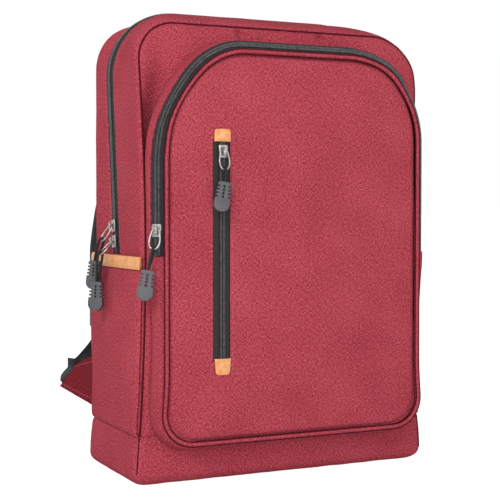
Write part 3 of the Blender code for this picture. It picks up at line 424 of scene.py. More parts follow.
def base_ring(z, inset):
    """Rounded outline of the boot at a height, drawn in from its widest."""
    front = front_y(z) + inset
    rear = REAR_Y - inset
    half = SIDE_X - inset
    ring = []
    for x_sign, edge, y_sign, radius, start in (
        (-1, front, 1, FRONT_CORNER, 180),
        (1, front, 1, FRONT_CORNER, 270),
        (1, rear, -1, max(REAR_ROUND - inset, FRONT_CORNER), 0),
        (-1, rear, -1, max(REAR_ROUND - inset, FRONT_CORNER), 90),
    ):
        arc = []
        for i in range(9):
            angle = math.radians(start + 90 * i / 8)
            x = x_sign * (half - radius) + radius * math.cos(angle)
            arc.append(Vector((x, edge + y_sign * radius + radius * math.sin(angle), z)))
        if ring:
            steps = 70 if edge == front and x_sign > 0 or edge == rear and x_sign < 0 else 32
            ring += [ring[-1].lerp(arc[0], i / steps) for i in range(1, steps)]
        ring += arc
    ring += [ring[-1].lerp(ring[0], i / 32) for i in range(1, 32)]
    return ring


boot_rows = [base_ring(0.0, inset) for inset in (0.045, 0.032)]
for i in range(11):
    angle = math.pi / 2 * i / 10
    boot_rows.append(base_ring(BASE_ROUND * (1 - math.cos(angle)), BASE_ROUND * (1 - math.sin(angle))))
boot_rows += [base_ring(z, 0.0) for z in levels(BASE_ROUND, BASE_HEIGHT, 0.0026)[1:]]


def boot_shape(p):
    """Pleats where the cloth turns under at the sides, and a flat underside."""
    stand = smooth(p.z / 0.006)
    side = Vector((abs(p.x), p.y, p.z))
    fold = crease(side, (SIDE_X, 0.036, 0.038), (SIDE_X, -0.016, 0.008), 0.0016, 0.004)
    fold += crease(side, (SIDE_X, -0.050, 0.040), (SIDE_X, -0.030, 0.012), 0.0010, 0.005)
    return fold * stand


boot = cloth_panel(
    "base_boot",
    boot_rows,
    [(lambda p: BASE_HEIGHT - p.z, SEAM_DIP, SEAM_ROLL), (lambda p: p.z + 0.004, 0.0, SEAM_ROLL)],
    crumple=0.0010,
    shape=boot_shape,
    closed=True,
)
for v in boot.data.vertices:
    v.co.z = max(v.co.z, 0.0)
bottom = bmesh.new()
bottom.from_mesh(boot.data)
bmesh.ops.holes_fill(bottom, edges=[e for e in bottom.edges if e.is_boundary], sides=0)
bottom.to_mesh(boot.data)
bottom.free()
place(boot, "bag", "red_melange_cloth", "base_panel")


# Topstitching: single dashes of polyester thread, a shade deeper than the cloth, pulled a little into it.
# Each dash is a rounded bar set along its seam.
STITCH = 0.0034
STITCH_PITCH = 0.0047
THREAD = 0.0009
THREAD_COLOUR = "#C4727B"

dash_tree = bpy.data.node_groups.new("dashes", "GeometryNodeTree")
dash_tree.interface.new_socket("Geometry", in_out="INPUT", socket_type="NodeSocketGeometry")
for label in ("Length", "Width", "Height"):
    dash_tree.interface.new_socket(label, in_out="INPUT", socket_type="NodeSocketFloat")
dash_tree.interface.new_socket("Material", in_out="INPUT", socket_type="NodeSocketMaterial")
dash_tree.interface.new_socket("Geometry", in_out="OUTPUT", socket_type="NodeSocketGeometry")
given = add_node(dash_tree, "NodeGroupInput")
sides = {"X": given.outputs["Length"], "Y": given.outputs["Width"], "Z": given.outputs["Height"]}
size = add_node(dash_tree, "ShaderNodeCombineXYZ", links=sides)
bar = add_node(dash_tree, "GeometryNodeMeshCube", links={"Size": size.outputs[0]})
soft = add_node(dash_tree, "GeometryNodeSubdivisionSurface", {"Level": 1}, {"Mesh": bar.outputs[0]})
ways = []
for label in ("outward", "along"):
    settings = {"data_type": "FLOAT_VECTOR", "Name": label}
    ways.append(add_node(dash_tree, "GeometryNodeInputNamedAttribute", settings).outputs[0])
stood = add_node(dash_tree, "FunctionNodeAlignRotationToVector", {"axis": "Z"}, {"Vector": ways[0]})
settings = {"axis": "X", "pivot_axis": "Z"}
turned = {"Rotation": stood.outputs[0], "Vector": ways[1]}
turned = add_node(dash_tree, "FunctionNodeAlignRotationToVector", settings, turned)
row = {"Points": given.outputs[0], "Instance": soft.outputs[0], "Rotation": turned.outputs[0]}
row = add_node(dash_tree, "GeometryNodeInstanceOnPoints", links=row)
real = add_node(dash_tree, "GeometryNodeRealizeInstances", links={"Geometry": row.outputs[0]})
sleek = add_node(dash_tree, "GeometryNodeSetShadeSmooth", links={"Geometry": real.outputs[0]})
dyed = {"Geometry": sleek.outputs[0], "Material": given.outputs["Material"]}
dyed = add_node(dash_tree, "GeometryNodeSetMaterial", links=dyed)
add_node(dash_tree, "NodeGroupOutput", links={0: dyed.outputs[0]})

# Thread: spun polyester, matt with a faint shine along the twist.
thread = patterned(
    "polyester_thread",
    ("Noise", {"Scale": 900.0}),
    ((0.3, "#A8505B"), (0.7, THREAD_COLOUR)),
    {"Roughness": 0.7, "Specular IOR Level": 0.3},
)


def dashes(name, places, size, material):
    """Row of rounded bars; each place is a point, its outward direction and the direction along the bar."""
    points = bpy.data.meshes.new(name)
    points.from_pydata([p for p, _, _ in places], [], [])
    for label, k in (("outward", 1), ("along", 2)):
        layer = points.attributes.new(label, "FLOAT_VECTOR", "POINT")
        for item, spot in zip(layer.data, places):
            item.vector = spot[k]
    thing = bpy.data.objects.new(name, points)
    scene.collection.objects.link(thing)
    repeat = thing.modifiers.new("dashes", "NODES")
    repeat.node_group = dash_tree
    values = dict(zip(("Length", "Width", "Height"), size), Material=material)
    for item in dash_tree.interface.items_tree:
        if item.in_out == "INPUT" and item.name in values:
            repeat[item.identifier] = values[item.name]
    return settle(thing)


def spaced(line, pitch):
    """Places at an even pitch along a line of points, each with the line's direction."""
    places = []
    ahead = pitch / 2
    for a, b in zip(line, line[1:]):
        length = (b - a).length
        while ahead < length:
            places.append((a.lerp(b, ahead / length), (b - a).normalized()))
            ahead += pitch
        ahead -= length
    return places


def stitch_row(name, cloth, line, body, slot="red_melange_cloth", material=thread):
    """Topstitching that lies on a piece of cloth along a line of points."""
    places = []
    for spot, along in spaced(line, STITCH_PITCH):
        _, on, normal, _ = cloth.closest_point_on_mesh(spot)
        along = (along - normal * along.dot(normal)).normalized()
        places.append((on + normal * THREAD * 0.10, normal, along))
    thing = dashes(name, places, (STITCH, THREAD, THREAD * 0.8), material)
    return place(thing, body, slot)


stitch_line = base_ring(BASE_HEIGHT - 0.0045, -0.0005)
stitch_row("base_stitches", boot, stitch_line + stitch_line[:1], "bag")


# Side panels: the cloth walls below the main zip's ends, sewn into the front corner seam and carried round
# the rear corner to the back.
ZIP_END = 0.212
WALL_LOW = BASE_HEIGHT + 0.0003
SLACK_FROM_Y = 0.05


def rear_turn(sign, angle, radius=REAR_ROUND):
    """Place (x, y) on the rounded rear corner of a side."""
    x = SIDE_X - REAR_ROUND + radius * math.cos(angle)
    return sign * x, REAR_Y - REAR_ROUND + radius * math.sin(angle)


def rear_slack(p):
    """The wall lies flat under the side pocket and crumples only toward the rear corner."""
    past = abs(p.x) - SIDE_X + REAR_ROUND
    return past if p.y >= SLACK_FROM_Y else -past


for side, sign in (("left", -1), ("right", 1)):
    rows = []
    for z in levels(WALL_LOW, ZIP_END, 0.004):
        front = front_y(z) + SEAM_DIP
        run = REAR_Y - REAR_ROUND - front
        row = [Vector((sign * SIDE_X, front + run * i / 32, z)) for i in range(33)]
        row += [Vector((*rear_turn(sign, math.pi / 2 * i / 9), z)) for i in range(1, 10)]
        rows.append(row)
    panel = cloth_panel(
        "side_wall_" + side,
        rows,
        [
            (lambda p: p.z - WALL_LOW, SEAM_DIP, SEAM_ROLL),
            (lambda p: p.y - front_y(p.z) - SEAM_DIP, SEAM_DIP, SEAM_ROLL),
            (rear_slack, 0.0, 1.0),
        ],
    )
    place(panel, "bag", "red_melange_cloth", "side_panel_" + side)


# Gussets beside the main zip: one strip of cloth in front of the zip and one behind it, each cut to follow
# the side up, over the domed top and down again.
TOP_DOME = 0.015
TOP_RADIUS = 0.040
ZIP_CORNER = 0.068
CORNER_SLACK = 0.0075
SLACK_LOW = 0.335
SLACK_RISE = 0.095
SLACK_X = 0.100
SLACK_X_RUN = 0.040
SLACK_Y = 0.010
SLACK_Y_RUN = 0.060
CROWN_LOW = 0.33
CROWN_RUN = 0.08
CROWN_SLACK = 0.0012
ZIP_RIDGE = 0.0036
ZIP_RIDGE_WIDTH = 0.015
MAIN_ZIP_TOP_Y = 0.012
MAIN_ZIP_LOW_Y = -0.013
ZIP_HALF = 0.0093
FOLD_HEIGHT = 0.338
FOLD_SPAN = 0.0094
BAG_TO_LID = ("bag", "lid", (0, 0, FOLD_HEIGHT - FOLD_SPAN), (0, 0, FOLD_HEIGHT))


def zip_y(z):
    """Middle of the main zip at a height; it leans back as it rises."""
    share = min((z - ZIP_END) / (SEAM_HEIGHT - ZIP_END), 1.0)
    return MAIN_ZIP_LOW_Y + (MAIN_ZIP_TOP_Y - MAIN_ZIP_LOW_Y) * share


def rear_inset(y):
    """How far the rounded rear edge draws the outline in."""
    past = min(max(0.0, y - (REAR_Y - REAR_ROUND)), REAR_ROUND)
    return REAR_ROUND - math.sqrt(REAR_ROUND**2 - past**2)


def top_z(y):
    """Height of the domed top, with the ridge that the zip makes."""
    share = min(max((y - FRONT_Y) / (REAR_Y - FRONT_Y), 0.0), 1.0)
    ridge = ZIP_RIDGE * math.exp(-(((y - MAIN_ZIP_TOP_Y) / ZIP_RIDGE_WIDTH) ** 2))
    return SEAM_HEIGHT + TOP_DOME * math.sin(math.pi * share) + ridge - rear_inset(y)


leg_heights = levels(ZIP_END, FOLD_HEIGHT - FOLD_SPAN, 0.003)
leg_heights += levels(FOLD_HEIGHT - FOLD_SPAN, FOLD_HEIGHT, 0.0011)[1:]


def corner_radius(y):
    """The tape cannot stretch, so it draws the top corners in along the zip."""
    gap = abs(y - MAIN_ZIP_TOP_Y) - ZIP_HALF
    if y < MAIN_ZIP_TOP_Y:
        reach = MAIN_ZIP_TOP_Y - front_y(SEAM_HEIGHT)
    else:
        reach = REAR_Y - REAR_ROUND - MAIN_ZIP_TOP_Y
    return ZIP_CORNER + (TOP_RADIUS - ZIP_CORNER) * smooth(gap / (reach - ZIP_HALF))


def arch(line_y):
    """Places and outward directions up the left side, over the top and down the right side."""
    y_top = line_y(SEAM_HEIGHT)
    inset = rear_inset(y_top)
    top = top_z(y_top)
    radius = corner_radius(y_top) - inset
    half = SIDE_X - inset
    corner = top - radius
    heights = leg_heights + [FOLD_HEIGHT + (corner - FOLD_HEIGHT) * i / 14 for i in range(1, 14)]
    left = [(Vector((-half, line_y(z), z)), Vector((-1, 0, 0))) for z in heights]
    for i in range(25):
        angle = math.pi / 2 * i / 24
        z = corner + radius * math.sin(angle)
        spot = Vector((-half + radius - radius * math.cos(angle), line_y(z), z))
        left.append((spot, Vector((-math.cos(angle), 0, math.sin(angle)))))
    reach = half - radius
    top_run = [(Vector((reach * i / 36, y_top, top)), Vector((0, 0, 1))) for i in range(-35, 36)]
    right = [(Vector((-p.x, p.y, p.z)), Vector((-n.x, n.y, n.z))) for p, n in reversed(left)]
    return left + top_run + right


def front_strip_line(share):
    """A line along the front strip, from its seam to the zip."""
    return lambda z: front_y(z) + SEAM_DIP + share * (zip_y(z) - ZIP_HALF - front_y(z) - SEAM_DIP)


def rear_strip_line(share):
    """A line along the flat of the rear strip, from the zip to the rear corner."""
    return lambda z: zip_y(z) + ZIP_HALF + share * (REAR_Y - REAR_ROUND - zip_y(z) - ZIP_HALF)


def rear_turn_line(angle):
    """A line along the rounded rear corner."""
    return lambda z: REAR_Y - REAR_ROUND + REAR_ROUND * math.sin(angle)


def crown_shape(p):
    """Slack of the top cloth between the zip and the seams, most at the rounded corners."""
    high = smooth((p.z - CROWN_LOW) / CROWN_RUN)
    return high * CROWN_SLACK * noise.noise(Vector((p.x * 14, p.y * 30, p.z * 14)))


def slack_corner(thing):
    """Lets the loaded bag bulge at its upper right front corner."""
    for v in thing.data.vertices:
        rise = math.sin(math.pi * min(max((v.co.z - SLACK_LOW) / SLACK_RISE, 0.0), 1.0))
        near = smooth((v.co.x - SLACK_X) / SLACK_X_RUN) * smooth((SLACK_Y - v.co.y) / SLACK_Y_RUN)
        v.co.x += CORNER_SLACK * rise * near
    return thing


strip_rows = [[p for p, _ in arch(front_strip_line(i / 24))] for i in range(25)]
front_strip = cloth_panel(
    "front_strip",
    strip_rows,
    [
        (lambda p: p.y - front_y(min(p.z, SEAM_HEIGHT)) - SEAM_DIP, SEAM_DIP, SEAM_ROLL),
        (lambda p: zip_y(p.z) - ZIP_HALF - p.y, HEM_DIP, HEM_ROLL),
    ],
    shape=crown_shape,
)
replaced = ("front_gusset_left", "front_gusset_right", "lid_gusset")
place(slack_corner(front_strip), BAG_TO_LID, "red_melange_cloth", *replaced)

rear_rows = [[p for p, _ in arch(rear_strip_line(i / 14))] for i in range(15)]
rear_rows += [[p for p, _ in arch(rear_turn_line(math.pi / 2 * i / 9))] for i in range(1, 10)]
rear_strip = cloth_panel(
    "rear_strip",
    rear_rows,
    [(lambda p: p.y - zip_y(p.z) - ZIP_HALF, HEM_DIP, HEM_ROLL), (lambda p: REAR_Y - p.y, 0.0008, 0.003)],
    shape=crown_shape,
)
place(rear_strip, "bag", "red_melange_cloth", "rear_gusset")


# Main zip: woven black tape with a nylon coil down its middle, sewn between the two gussets. The rear half
# stays on the bag; the front half goes with the lid.
TAPE = 0.0012
TAPE_RECESS = 0.0006
TAPE_EDGE = 0.0003
COIL_PITCH = 0.0016
COIL_REACH = 0.0028
COIL_LEAN = 0.22
ZIP_TUCK = 0.0012
ZIP_STITCH_GAP = 0.0026
COIL_SIZE = (0.0036, 0.00165, 0.0024)
TAPE_COLOURS = ((0.3, "#232122"), (0.7, "#343132"))
# The coil's grey, lighter than the tape, is partly a painted highlight.
COIL_AND_HIGHLIGHT_COLOURS = ((0.3, "#403E3F"), (0.7, "#605E5F"))

# Zip tape: herringbone-woven polyester, nearly black and matt, with fine ribs along it.
tape_cloth = patterned(
    "woven_zip_tape",
    ("Noise", {"Scale": 700.0}),
    TAPE_COLOURS,
    {"Roughness": 0.8, "Specular IOR Level": 0.25},
    (0.4, 0.0004),
    ("Wave", {"bands_direction": "X", "Scale": math.pi / 10 / 0.0011, "Distortion": 1.0, "Detail": 1.0}),
    on_cloth=True,
)

# Coil: dyed nylon monofilament, smooth with a soft gloss. Its grey is partly its own colour and partly a
# painted highlight.
coil_nylon_and_highlight = patterned(
    "nylon_coil_painted_highlight",
    ("Noise", {"Scale": 300.0}),
    COIL_AND_HIGHLIGHT_COLOURS,
    {"Roughness": 0.42, "Specular IOR Level": 0.4},
)


def tape_ring(spots):
    """Section of half a zip tape between its inner and outer edge, from the four corners of the tape."""
    low_in, low_out, high_out, high_in = spots
    return [low_in, low_in.lerp(low_out, 0.5), low_out, high_out, high_out.lerp(high_in, 0.5), high_in]


def tape_piece(name, rings):
    """Half a zip tape through its sections."""
    return new_piece(name, solid_mesh(name, rings), tape_cloth)


def tape_corners(reach):
    """Corners of half a tape, as places across it and out from it."""
    corners = ((TAPE_EDGE, -TAPE), (reach, -TAPE), (reach, 0.0), (TAPE_EDGE, 0.0))
    return [(across, out - TAPE_RECESS) for across, out in corners]


def coil_teeth(line, outs, sign):
    """Loops of one half of a coil along a line; the halves mesh half a pitch apart."""
    shift = COIL_PITCH / 2 if sign > 0 else 0.0
    teeth = []
    for spot, along in spaced(line, COIL_PITCH):
        near = min(range(len(line)), key=lambda i: (line[i] - spot).length_squared)
        across = along.cross(outs[near]).normalized()
        lean = (across + along * COIL_LEAN * sign).normalized()
        teeth.append((spot + along * shift, outs[near], lean))
    return teeth


main_stations = arch(zip_y)
for half_name, sign in (("rear", 1), ("front", -1)):
    rings = []
    for p, n in main_stations:
        corners = tape_corners(ZIP_HALF + ZIP_TUCK)
        rings.append(tape_ring([p + Vector((0, sign * reach, 0)) + n * out for reach, out in corners]))
    tape = tape_piece("main_tape_" + half_name, rings)
    line = [p + Vector((0, sign * COIL_REACH / 2, 0)) + n * 0.0001 for p, n in main_stations]
    teeth = coil_teeth(line, [n for _, n in main_stations], sign)
    if sign > 0:
        place(tape, "bag", "black_zip_tape", "main_zip_rear")
        place(dashes("main_coil_rear", teeth, COIL_SIZE, coil_nylon_and_highlight), "bag", "black_zip_tape")
    else:
        replaced = ("main_zip_front_left", "main_zip_front_right", "main_zip_lid")
        place(tape, BAG_TO_LID, "black_zip_tape", *replaced)
        fold = FOLD_HEIGHT - FOLD_SPAN / 2
        for body in ("bag", "lid"):
            own = [t for t in teeth if (t[0].z < fold) == (body == "bag")]
            place(dashes("main_coil_front_" + body, own, COIL_SIZE, coil_nylon_and_highlight), body, "black_zip_tape")

for half_name, cloth, body, line_y in (
    ("front", front_strip, BAG_TO_LID, lambda z: zip_y(z) - ZIP_HALF - ZIP_STITCH_GAP),
    ("rear", rear_strip, "bag", lambda z: zip_y(z) + ZIP_HALF + ZIP_STITCH_GAP),
):
    stitch_row("main_zip_stitches_" + half_name, cloth, [p for p, _ in arch(line_y)], body)


# Front panel: the wall of the main compartment that carries the front pocket, sewn to the front strip all
# round. Its upper part, above the pocket, shows two soft drag creases.
def corner_levels(top, radius, steps):
    """Heights up a rounded corner, closer together toward its top."""
    return [top - radius + radius * math.sin(math.pi / 2 * i / steps) for i in range(1, steps + 1)]


def rounded_half(z, half, top, radius):
    """Half the width at a height of a panel with rounded upper corners."""
    rise = max(0.0, z - (top - radius))
    return half - radius + math.sqrt(max(radius**2 - rise**2, 0.0))


def outline_gap(x, z, half, low, high, low_round, high_round):
    """Distance in from the rounded outline of a flat panel."""
    gap = min(half - abs(x), z - low, high - z)
    for edge, radius, sign in ((low, low_round, 1), (high, high_round, -1)):
        over = abs(x) - (half - radius)
        past = (edge + sign * radius - z) * sign
        if over > 0 and past > 0:
            gap = min(gap, radius - math.hypot(over, past))
    return gap


# Drag creases: upper and lower end (x, z), depth and width. One of less than no depth is the ridge beside.
DRAG_CREASES = (
    ((-0.048, 0.436), (-0.030, 0.408), 0.0070, 0.0045),
    ((-0.038, 0.436), (-0.020, 0.408), -0.0034, 0.0060),
    ((0.036, 0.436), (0.064, 0.408), 0.0070, 0.0045),
    ((0.047, 0.436), (0.075, 0.408), -0.0034, 0.0060),
    ((-0.120, 0.394), (-0.140, 0.296), 0.0125, 0.014),
)
panel_half = SIDE_X - SEAM_DIP
panel_top = SEAM_HEIGHT - SEAM_DIP
panel_round = TOP_RADIUS - SEAM_DIP
heights = levels(WALL_LOW, FOLD_HEIGHT - FOLD_SPAN, 0.004)
heights += levels(FOLD_HEIGHT - FOLD_SPAN, FOLD_HEIGHT, 0.0016)[1:]
heights += levels(FOLD_HEIGHT, panel_top - panel_round, 0.0032)[1:]
heights += corner_levels(panel_top, panel_round, 22)
rows = []
for z in heights:
    half = rounded_half(z, panel_half, panel_top, panel_round)
    rows.append([Vector((-half + 2 * half * i / 160, front_y(z), z)) for i in range(161)])


def front_gap(p):
    """Distance in from the seam round the front panel."""
    return outline_gap(p.x, p.z, panel_half, WALL_LOW, panel_top, 0.004, panel_round)


def drag_creases(p):
    """Depth of the drag creases at a place; the seam holds the cloth flat."""
    depths = []
    for (high_x, high_z), (low_x, low_z), depth, width in DRAG_CREASES:
        depths.append(crease(p, (high_x, p.y, high_z), (low_x, p.y, low_z), depth, width))
    return smooth(front_gap(p) / 0.004) * sum(depths)


SEAM_SHADE_RADIUS = 0.0007
RADIAL_Y = Vector((0, 1, 0))

# Seam shade: a dark red cord laid in the bottom of a seam, which paints the seam's shade.
seam_shade_cloth = woven("seam_shade_cloth", ((0.33, "#3A1017"), (0.50, "#521820"), (0.67, "#68222B")))


def seam_shade_cord(name, rings):
    """Dark cord in the bottom of a seam, which paints the seam's shade."""
    mesh = grid_mesh(name, rings, closed=True, caps=True)
    face_outward(mesh)
    return new_piece(name, mesh, seam_shade_cloth)


def seam_rings(line, sunk, radius):
    """Sections of a cord along places and outward directions, sunk below them."""
    turns = [math.pi * i / 4 for i in range(8)]
    rings = []
    for p, n in line:
        rings.append([p + n * (radius * math.cos(a) - sunk) + RADIAL_Y * radius * math.sin(a) for a in turns])
    return rings


# A dark cord along the front seam and down each boot corner paints the shade in these seams.
leg = []
for z in levels(WALL_LOW, ZIP_END, 0.004):
    leg.append((Vector((-SIDE_X, front_y(z) + SEAM_DIP, z)), Vector((-1, 0, 0))))
other_leg = [(Vector((-p.x, p.y, p.z)), -n) for p, n in reversed(leg)]
seam = leg[:-1] + arch(front_strip_line(0)) + other_leg[1:]
cord = seam_shade_cord("front_seam_shade", seam_rings(seam, SEAM_DIP + 0.0006, 0.0010))
place(slack_corner(cord), BAG_TO_LID, "red_melange_cloth")
for side, sign in (("left", -1), ("right", 1)):
    turned = FRONT_CORNER * 0.29
    line = []
    for z in levels(0.012, BASE_HEIGHT - 0.001, 0.003):
        line.append((Vector((sign * (SIDE_X - turned), front_y(z) + turned, z)), Vector((sign, 0, 0))))
    place(seam_shade_cord("boot_seam_shade_" + side, seam_rings(line, 0.0004, 0.0008)), "bag", "red_melange_cloth")

front_wall = cloth_panel(
    "front_wall",
    rows,
    [(front_gap, SEAM_DIP, SEAM_ROLL)],
    crumple=0.0008,
    shape=drag_creases,
)
place(slack_corner(front_wall), BAG_TO_LID, "red_melange_cloth", "front_panel", "lid_panel")


# Front pocket walls: a gusset strip stands off the front panel and, below the zip's ends, rolls over a
# slanted shoulder to the piping. Above them the shoulder is the zip's own tape.
POCKET_HALF = 0.1455
POCKET_TOP = 0.412
POCKET_BOTTOM = 0.028
POCKET_RIM_Y = -0.105
POCKET_TOP_RADIUS = 0.092
POCKET_BASE_RADIUS = 0.044
SHOULDER_DEPTH = 0.0085
SHOULDER_LIP = 0.001
SHOULDER_TUCK = 0.0065
SHOULDER_TUCK_RUN = 0.080
LEAN = 0.0105
LEAN_FREE = 0.093
LEAN_LOW = 0.295
LEAN_HIGH = 0.330
FOOT_GAP = 0.0006
WALL_SWELL = 0.0007
PIPING_INSET = 0.0125
PIPING_RADIUS = 0.0019
SHOULDER_INSET = 0.0103
FACE_INSET = 0.0147
LID_TO_FLAP = ("lid", "flap", (0, 0, FOLD_HEIGHT), (0, 0, FOLD_HEIGHT + FOLD_SPAN))
arc_middle = POCKET_TOP - POCKET_TOP_RADIUS
base_middle = POCKET_BOTTOM + POCKET_BASE_RADIUS


def mirrored(line):
    """The same run on the other side, the other way along."""
    return [(-x, z) for x, z in reversed(line)]


@functools.cache
def pocket_run(inset, *parts):
    """Places (x, z) along parts of the pocket outline: up the left, over the top, down the right, below."""
    radius = POCKET_TOP_RADIUS - inset
    side = POCKET_HALF - inset
    center = POCKET_HALF - POCKET_TOP_RADIUS
    fold = math.asin((FOLD_HEIGHT - arc_middle) / radius)
    left = [(-side, z) for z in levels(ZIP_END, arc_middle, 0.003)]
    left += [
        (-center - radius * math.cos(fold * i / 12), arc_middle + radius * math.sin(fold * i / 12))
        for i in range(1, 13)
    ]
    arc = []
    for i in range(41):
        angle = fold + (math.pi / 2 - fold) * i / 40
        arc.append((-center - radius * math.cos(angle), arc_middle + radius * math.sin(angle)))
    middle = [(x, POCKET_TOP - inset) for x in levels(-center, center, 0.003)[1:-1]]
    low_radius = POCKET_BASE_RADIUS - inset
    low_center = POCKET_HALF - POCKET_BASE_RADIUS
    below = [(-side, z) for z in levels(ZIP_END, base_middle, 0.003)]
    for i in range(1, 21):
        angle = math.pi / 2 * i / 20
        below.append((-low_center - low_radius * math.cos(angle), base_middle - low_radius * math.sin(angle)))
    floor_run = [(x, POCKET_BOTTOM + inset) for x in levels(low_center, -low_center, 0.003)[1:-1]]
    runs = {
        "left": left,
        "top": arc + middle + mirrored(arc),
        "right": mirrored(left),
        "below": [(-x, z) for x, z in below] + floor_run + list(reversed(below)),
    }
    line = []
    for part in parts:
        line += runs[part][1:] if line else runs[part]
    return line


def along_pocket(profile, *parts):
    """Rows of points that follow the pocket outline; a profile gives (inset, y) places at a height."""
    first_inset, _ = profile(ZIP_END)[0]
    rows = []
    for i, (_, z) in enumerate(pocket_run(first_inset, *parts)):
        row = []
        for inset, y in profile(z):
            x, height = pocket_run(inset, *parts)[i]
            row.append(Vector((x, y, height)))
        rows.append(row)
    return rows


lip_y = POCKET_RIM_Y + SHOULDER_DEPTH


def wall_profile(z):
    """Above the zip's ends: from the front panel up to the zip."""
    foot = front_y(z) - FOOT_GAP
    return [
        (SHOULDER_LIP * t - WALL_SWELL * math.sin(math.pi * t), foot + (lip_y + 0.0014 - foot) * t)
        for t in (0, 0.08, 0.2, 0.35, 0.5, 0.65, 0.8, 0.92, 1)
    ]


def shoulder_profile(z):
    """Below the zip: up the wall, over the rounded lip and down the slanted shoulder to the piping."""
    foot = front_y(z) - FOOT_GAP
    tuck = SHOULDER_TUCK * smooth((ZIP_END - z) / SHOULDER_TUCK_RUN)
    lip = SHOULDER_LIP * 0.6 + tuck
    wall = []
    for t in (0, 0.1, 0.25, 0.45, 0.65, 0.8):
        wall.append((tuck - WALL_SWELL * math.sin(math.pi * t), foot + (lip_y - foot) * t))
    rest = []
    for t in (0.0, 0.12, 0.28, 0.45, 0.62, 0.78, 0.9, 1.0):
        lift = 0.0012 * math.sin(math.pi * t)
        inset = lip + (SHOULDER_INSET - lip) * t - lift * 0.6
        rest.append((inset, lip_y - 0.0004 + (POCKET_RIM_Y + SHOULDER_LIP - lip_y) * t - lift * 0.8))
    return wall + rest


def askew(thing):
    """Lets a pocket piece hang as the slack cloth does: its top leans to the right."""
    for v in thing.data.vertices:
        inner = LEAN_FREE * (1 - 0.65 * smooth((v.co.z - LEAN_HIGH) / 0.05))
        weight = smooth((abs(v.co.x) - inner) / (POCKET_HALF - inner))
        start, run = (LEAN_LOW, 0.080) if v.co.x < 0 else (LEAN_HIGH + 0.035, 0.040)
        v.co.x += LEAN * weight * smooth((v.co.z - start) / run)
    return thing


def foot_gap(p):
    """Distance out from the seam on the front panel."""
    return front_y(p.z) - FOOT_GAP - p.y


foot_seam = (foot_gap, 0.0008, 0.003)
upper_rows = along_pocket(wall_profile, "left", "top", "right")
pocket_wall = cloth_panel("pocket_wall_upper", upper_rows, [foot_seam], crumple=0.0004)
place(askew(pocket_wall), BAG_TO_LID, "red_melange_cloth", "lid_pocket_gusset")
lower_rows = along_pocket(shoulder_profile, "below")
low_wall = cloth_panel(
    "pocket_wall_lower",
    lower_rows,
    [foot_seam, (lambda p: p.y - POCKET_RIM_Y - SHOULDER_LIP, 0.0020, 0.0026)],
    crumple=0.0004,
)
place(low_wall, "bag", "red_melange_cloth", "pocket_gusset")


# Pocket zip: the same black coil zip, set on the slanted shoulder round the upper part of the pocket. The
# rear half stays with the pocket wall, the front half goes with the flap.
shoulder = Vector((SHOULDER_INSET - SHOULDER_LIP, SHOULDER_DEPTH - SHOULDER_LIP))
slant = shoulder.normalized()
tape_reach = shoulder.length / 2 - 0.0003


def shoulder_place(across, out):
    """Inset and y of a place on the slanted shoulder, counted from its middle line."""
    inset = (SHOULDER_LIP + SHOULDER_INSET) / 2 + across * slant.x - out * slant.y
    return inset, POCKET_RIM_Y + (SHOULDER_DEPTH + SHOULDER_LIP) / 2 - across * slant.y - out * slant.x


def shoulder_tape(name, sign, *parts):
    """Half the pocket zip's tape along parts of the outline."""
    corners = [shoulder_place(sign * across, out) for across, out in tape_corners(tape_reach)]
    return tape_piece(name, [tape_ring(row) for row in along_pocket(lambda z: corners, *parts)])


def shoulder_teeth(sign, *parts):
    """Coil loops of one half of the pocket zip."""
    middle = shoulder_place(sign * COIL_REACH / 2, 0.0001)
    above = shoulder_place(sign * COIL_REACH / 2, 0.0011)
    rows = along_pocket(lambda z: [middle, above], *parts)
    line = [row[0] for row in rows]
    outs = [(row[1] - row[0]).normalized() for row in rows]
    return coil_teeth(line, outs, sign)


around = ("left", "top", "right")
rear_tape = shoulder_tape("pocket_tape_rear", -1, *around)
replaced = ("pocket_zip_rear", "pocket_zip_left", "pocket_zip_right")
place(askew(rear_tape), BAG_TO_LID, "black_zip_tape", *replaced)
flap_tape = shoulder_tape("pocket_tape_flap", 1, "top")
place(askew(flap_tape), LID_TO_FLAP, "black_zip_tape", "pocket_zip_front")
for side in ("left", "right"):
    place(askew(shoulder_tape("pocket_tape_" + side, 1, side)), BAG_TO_LID, "black_zip_tape")
bend_low = FOLD_HEIGHT - FOLD_SPAN / 2
bend_high = FOLD_HEIGHT + FOLD_SPAN / 2
for half_name, sign, bands in (
    ("rear", -1, (("bag", 0.0, bend_low), ("lid", bend_low, 1.0))),
    ("front", 1, (("bag", 0.0, bend_low), ("lid", bend_low, bend_high), ("flap", bend_high, 1.0))),
):
    teeth = shoulder_teeth(sign, *around)
    for body, low, high in bands:
        own = [t for t in teeth if low <= t[0].z < high]
        coil = dashes("pocket_coil_" + half_name + "_" + body, own, COIL_SIZE, coil_nylon_and_highlight)
        place(askew(coil), body, "black_zip_tape")


# Piping: a cord wrapped in the red cloth, sewn between the pocket's face and its shoulder all round. Where
# the flap folds it runs on from the lower piping to the flap's own.
def piping_profile(z):
    """Round section of the piping."""
    turns = [2 * math.pi * i / 12 for i in range(12)]
    middle = POCKET_RIM_Y - 0.0003
    return [(PIPING_INSET + PIPING_RADIUS * math.cos(a), middle + PIPING_RADIUS * math.sin(a)) for a in turns]


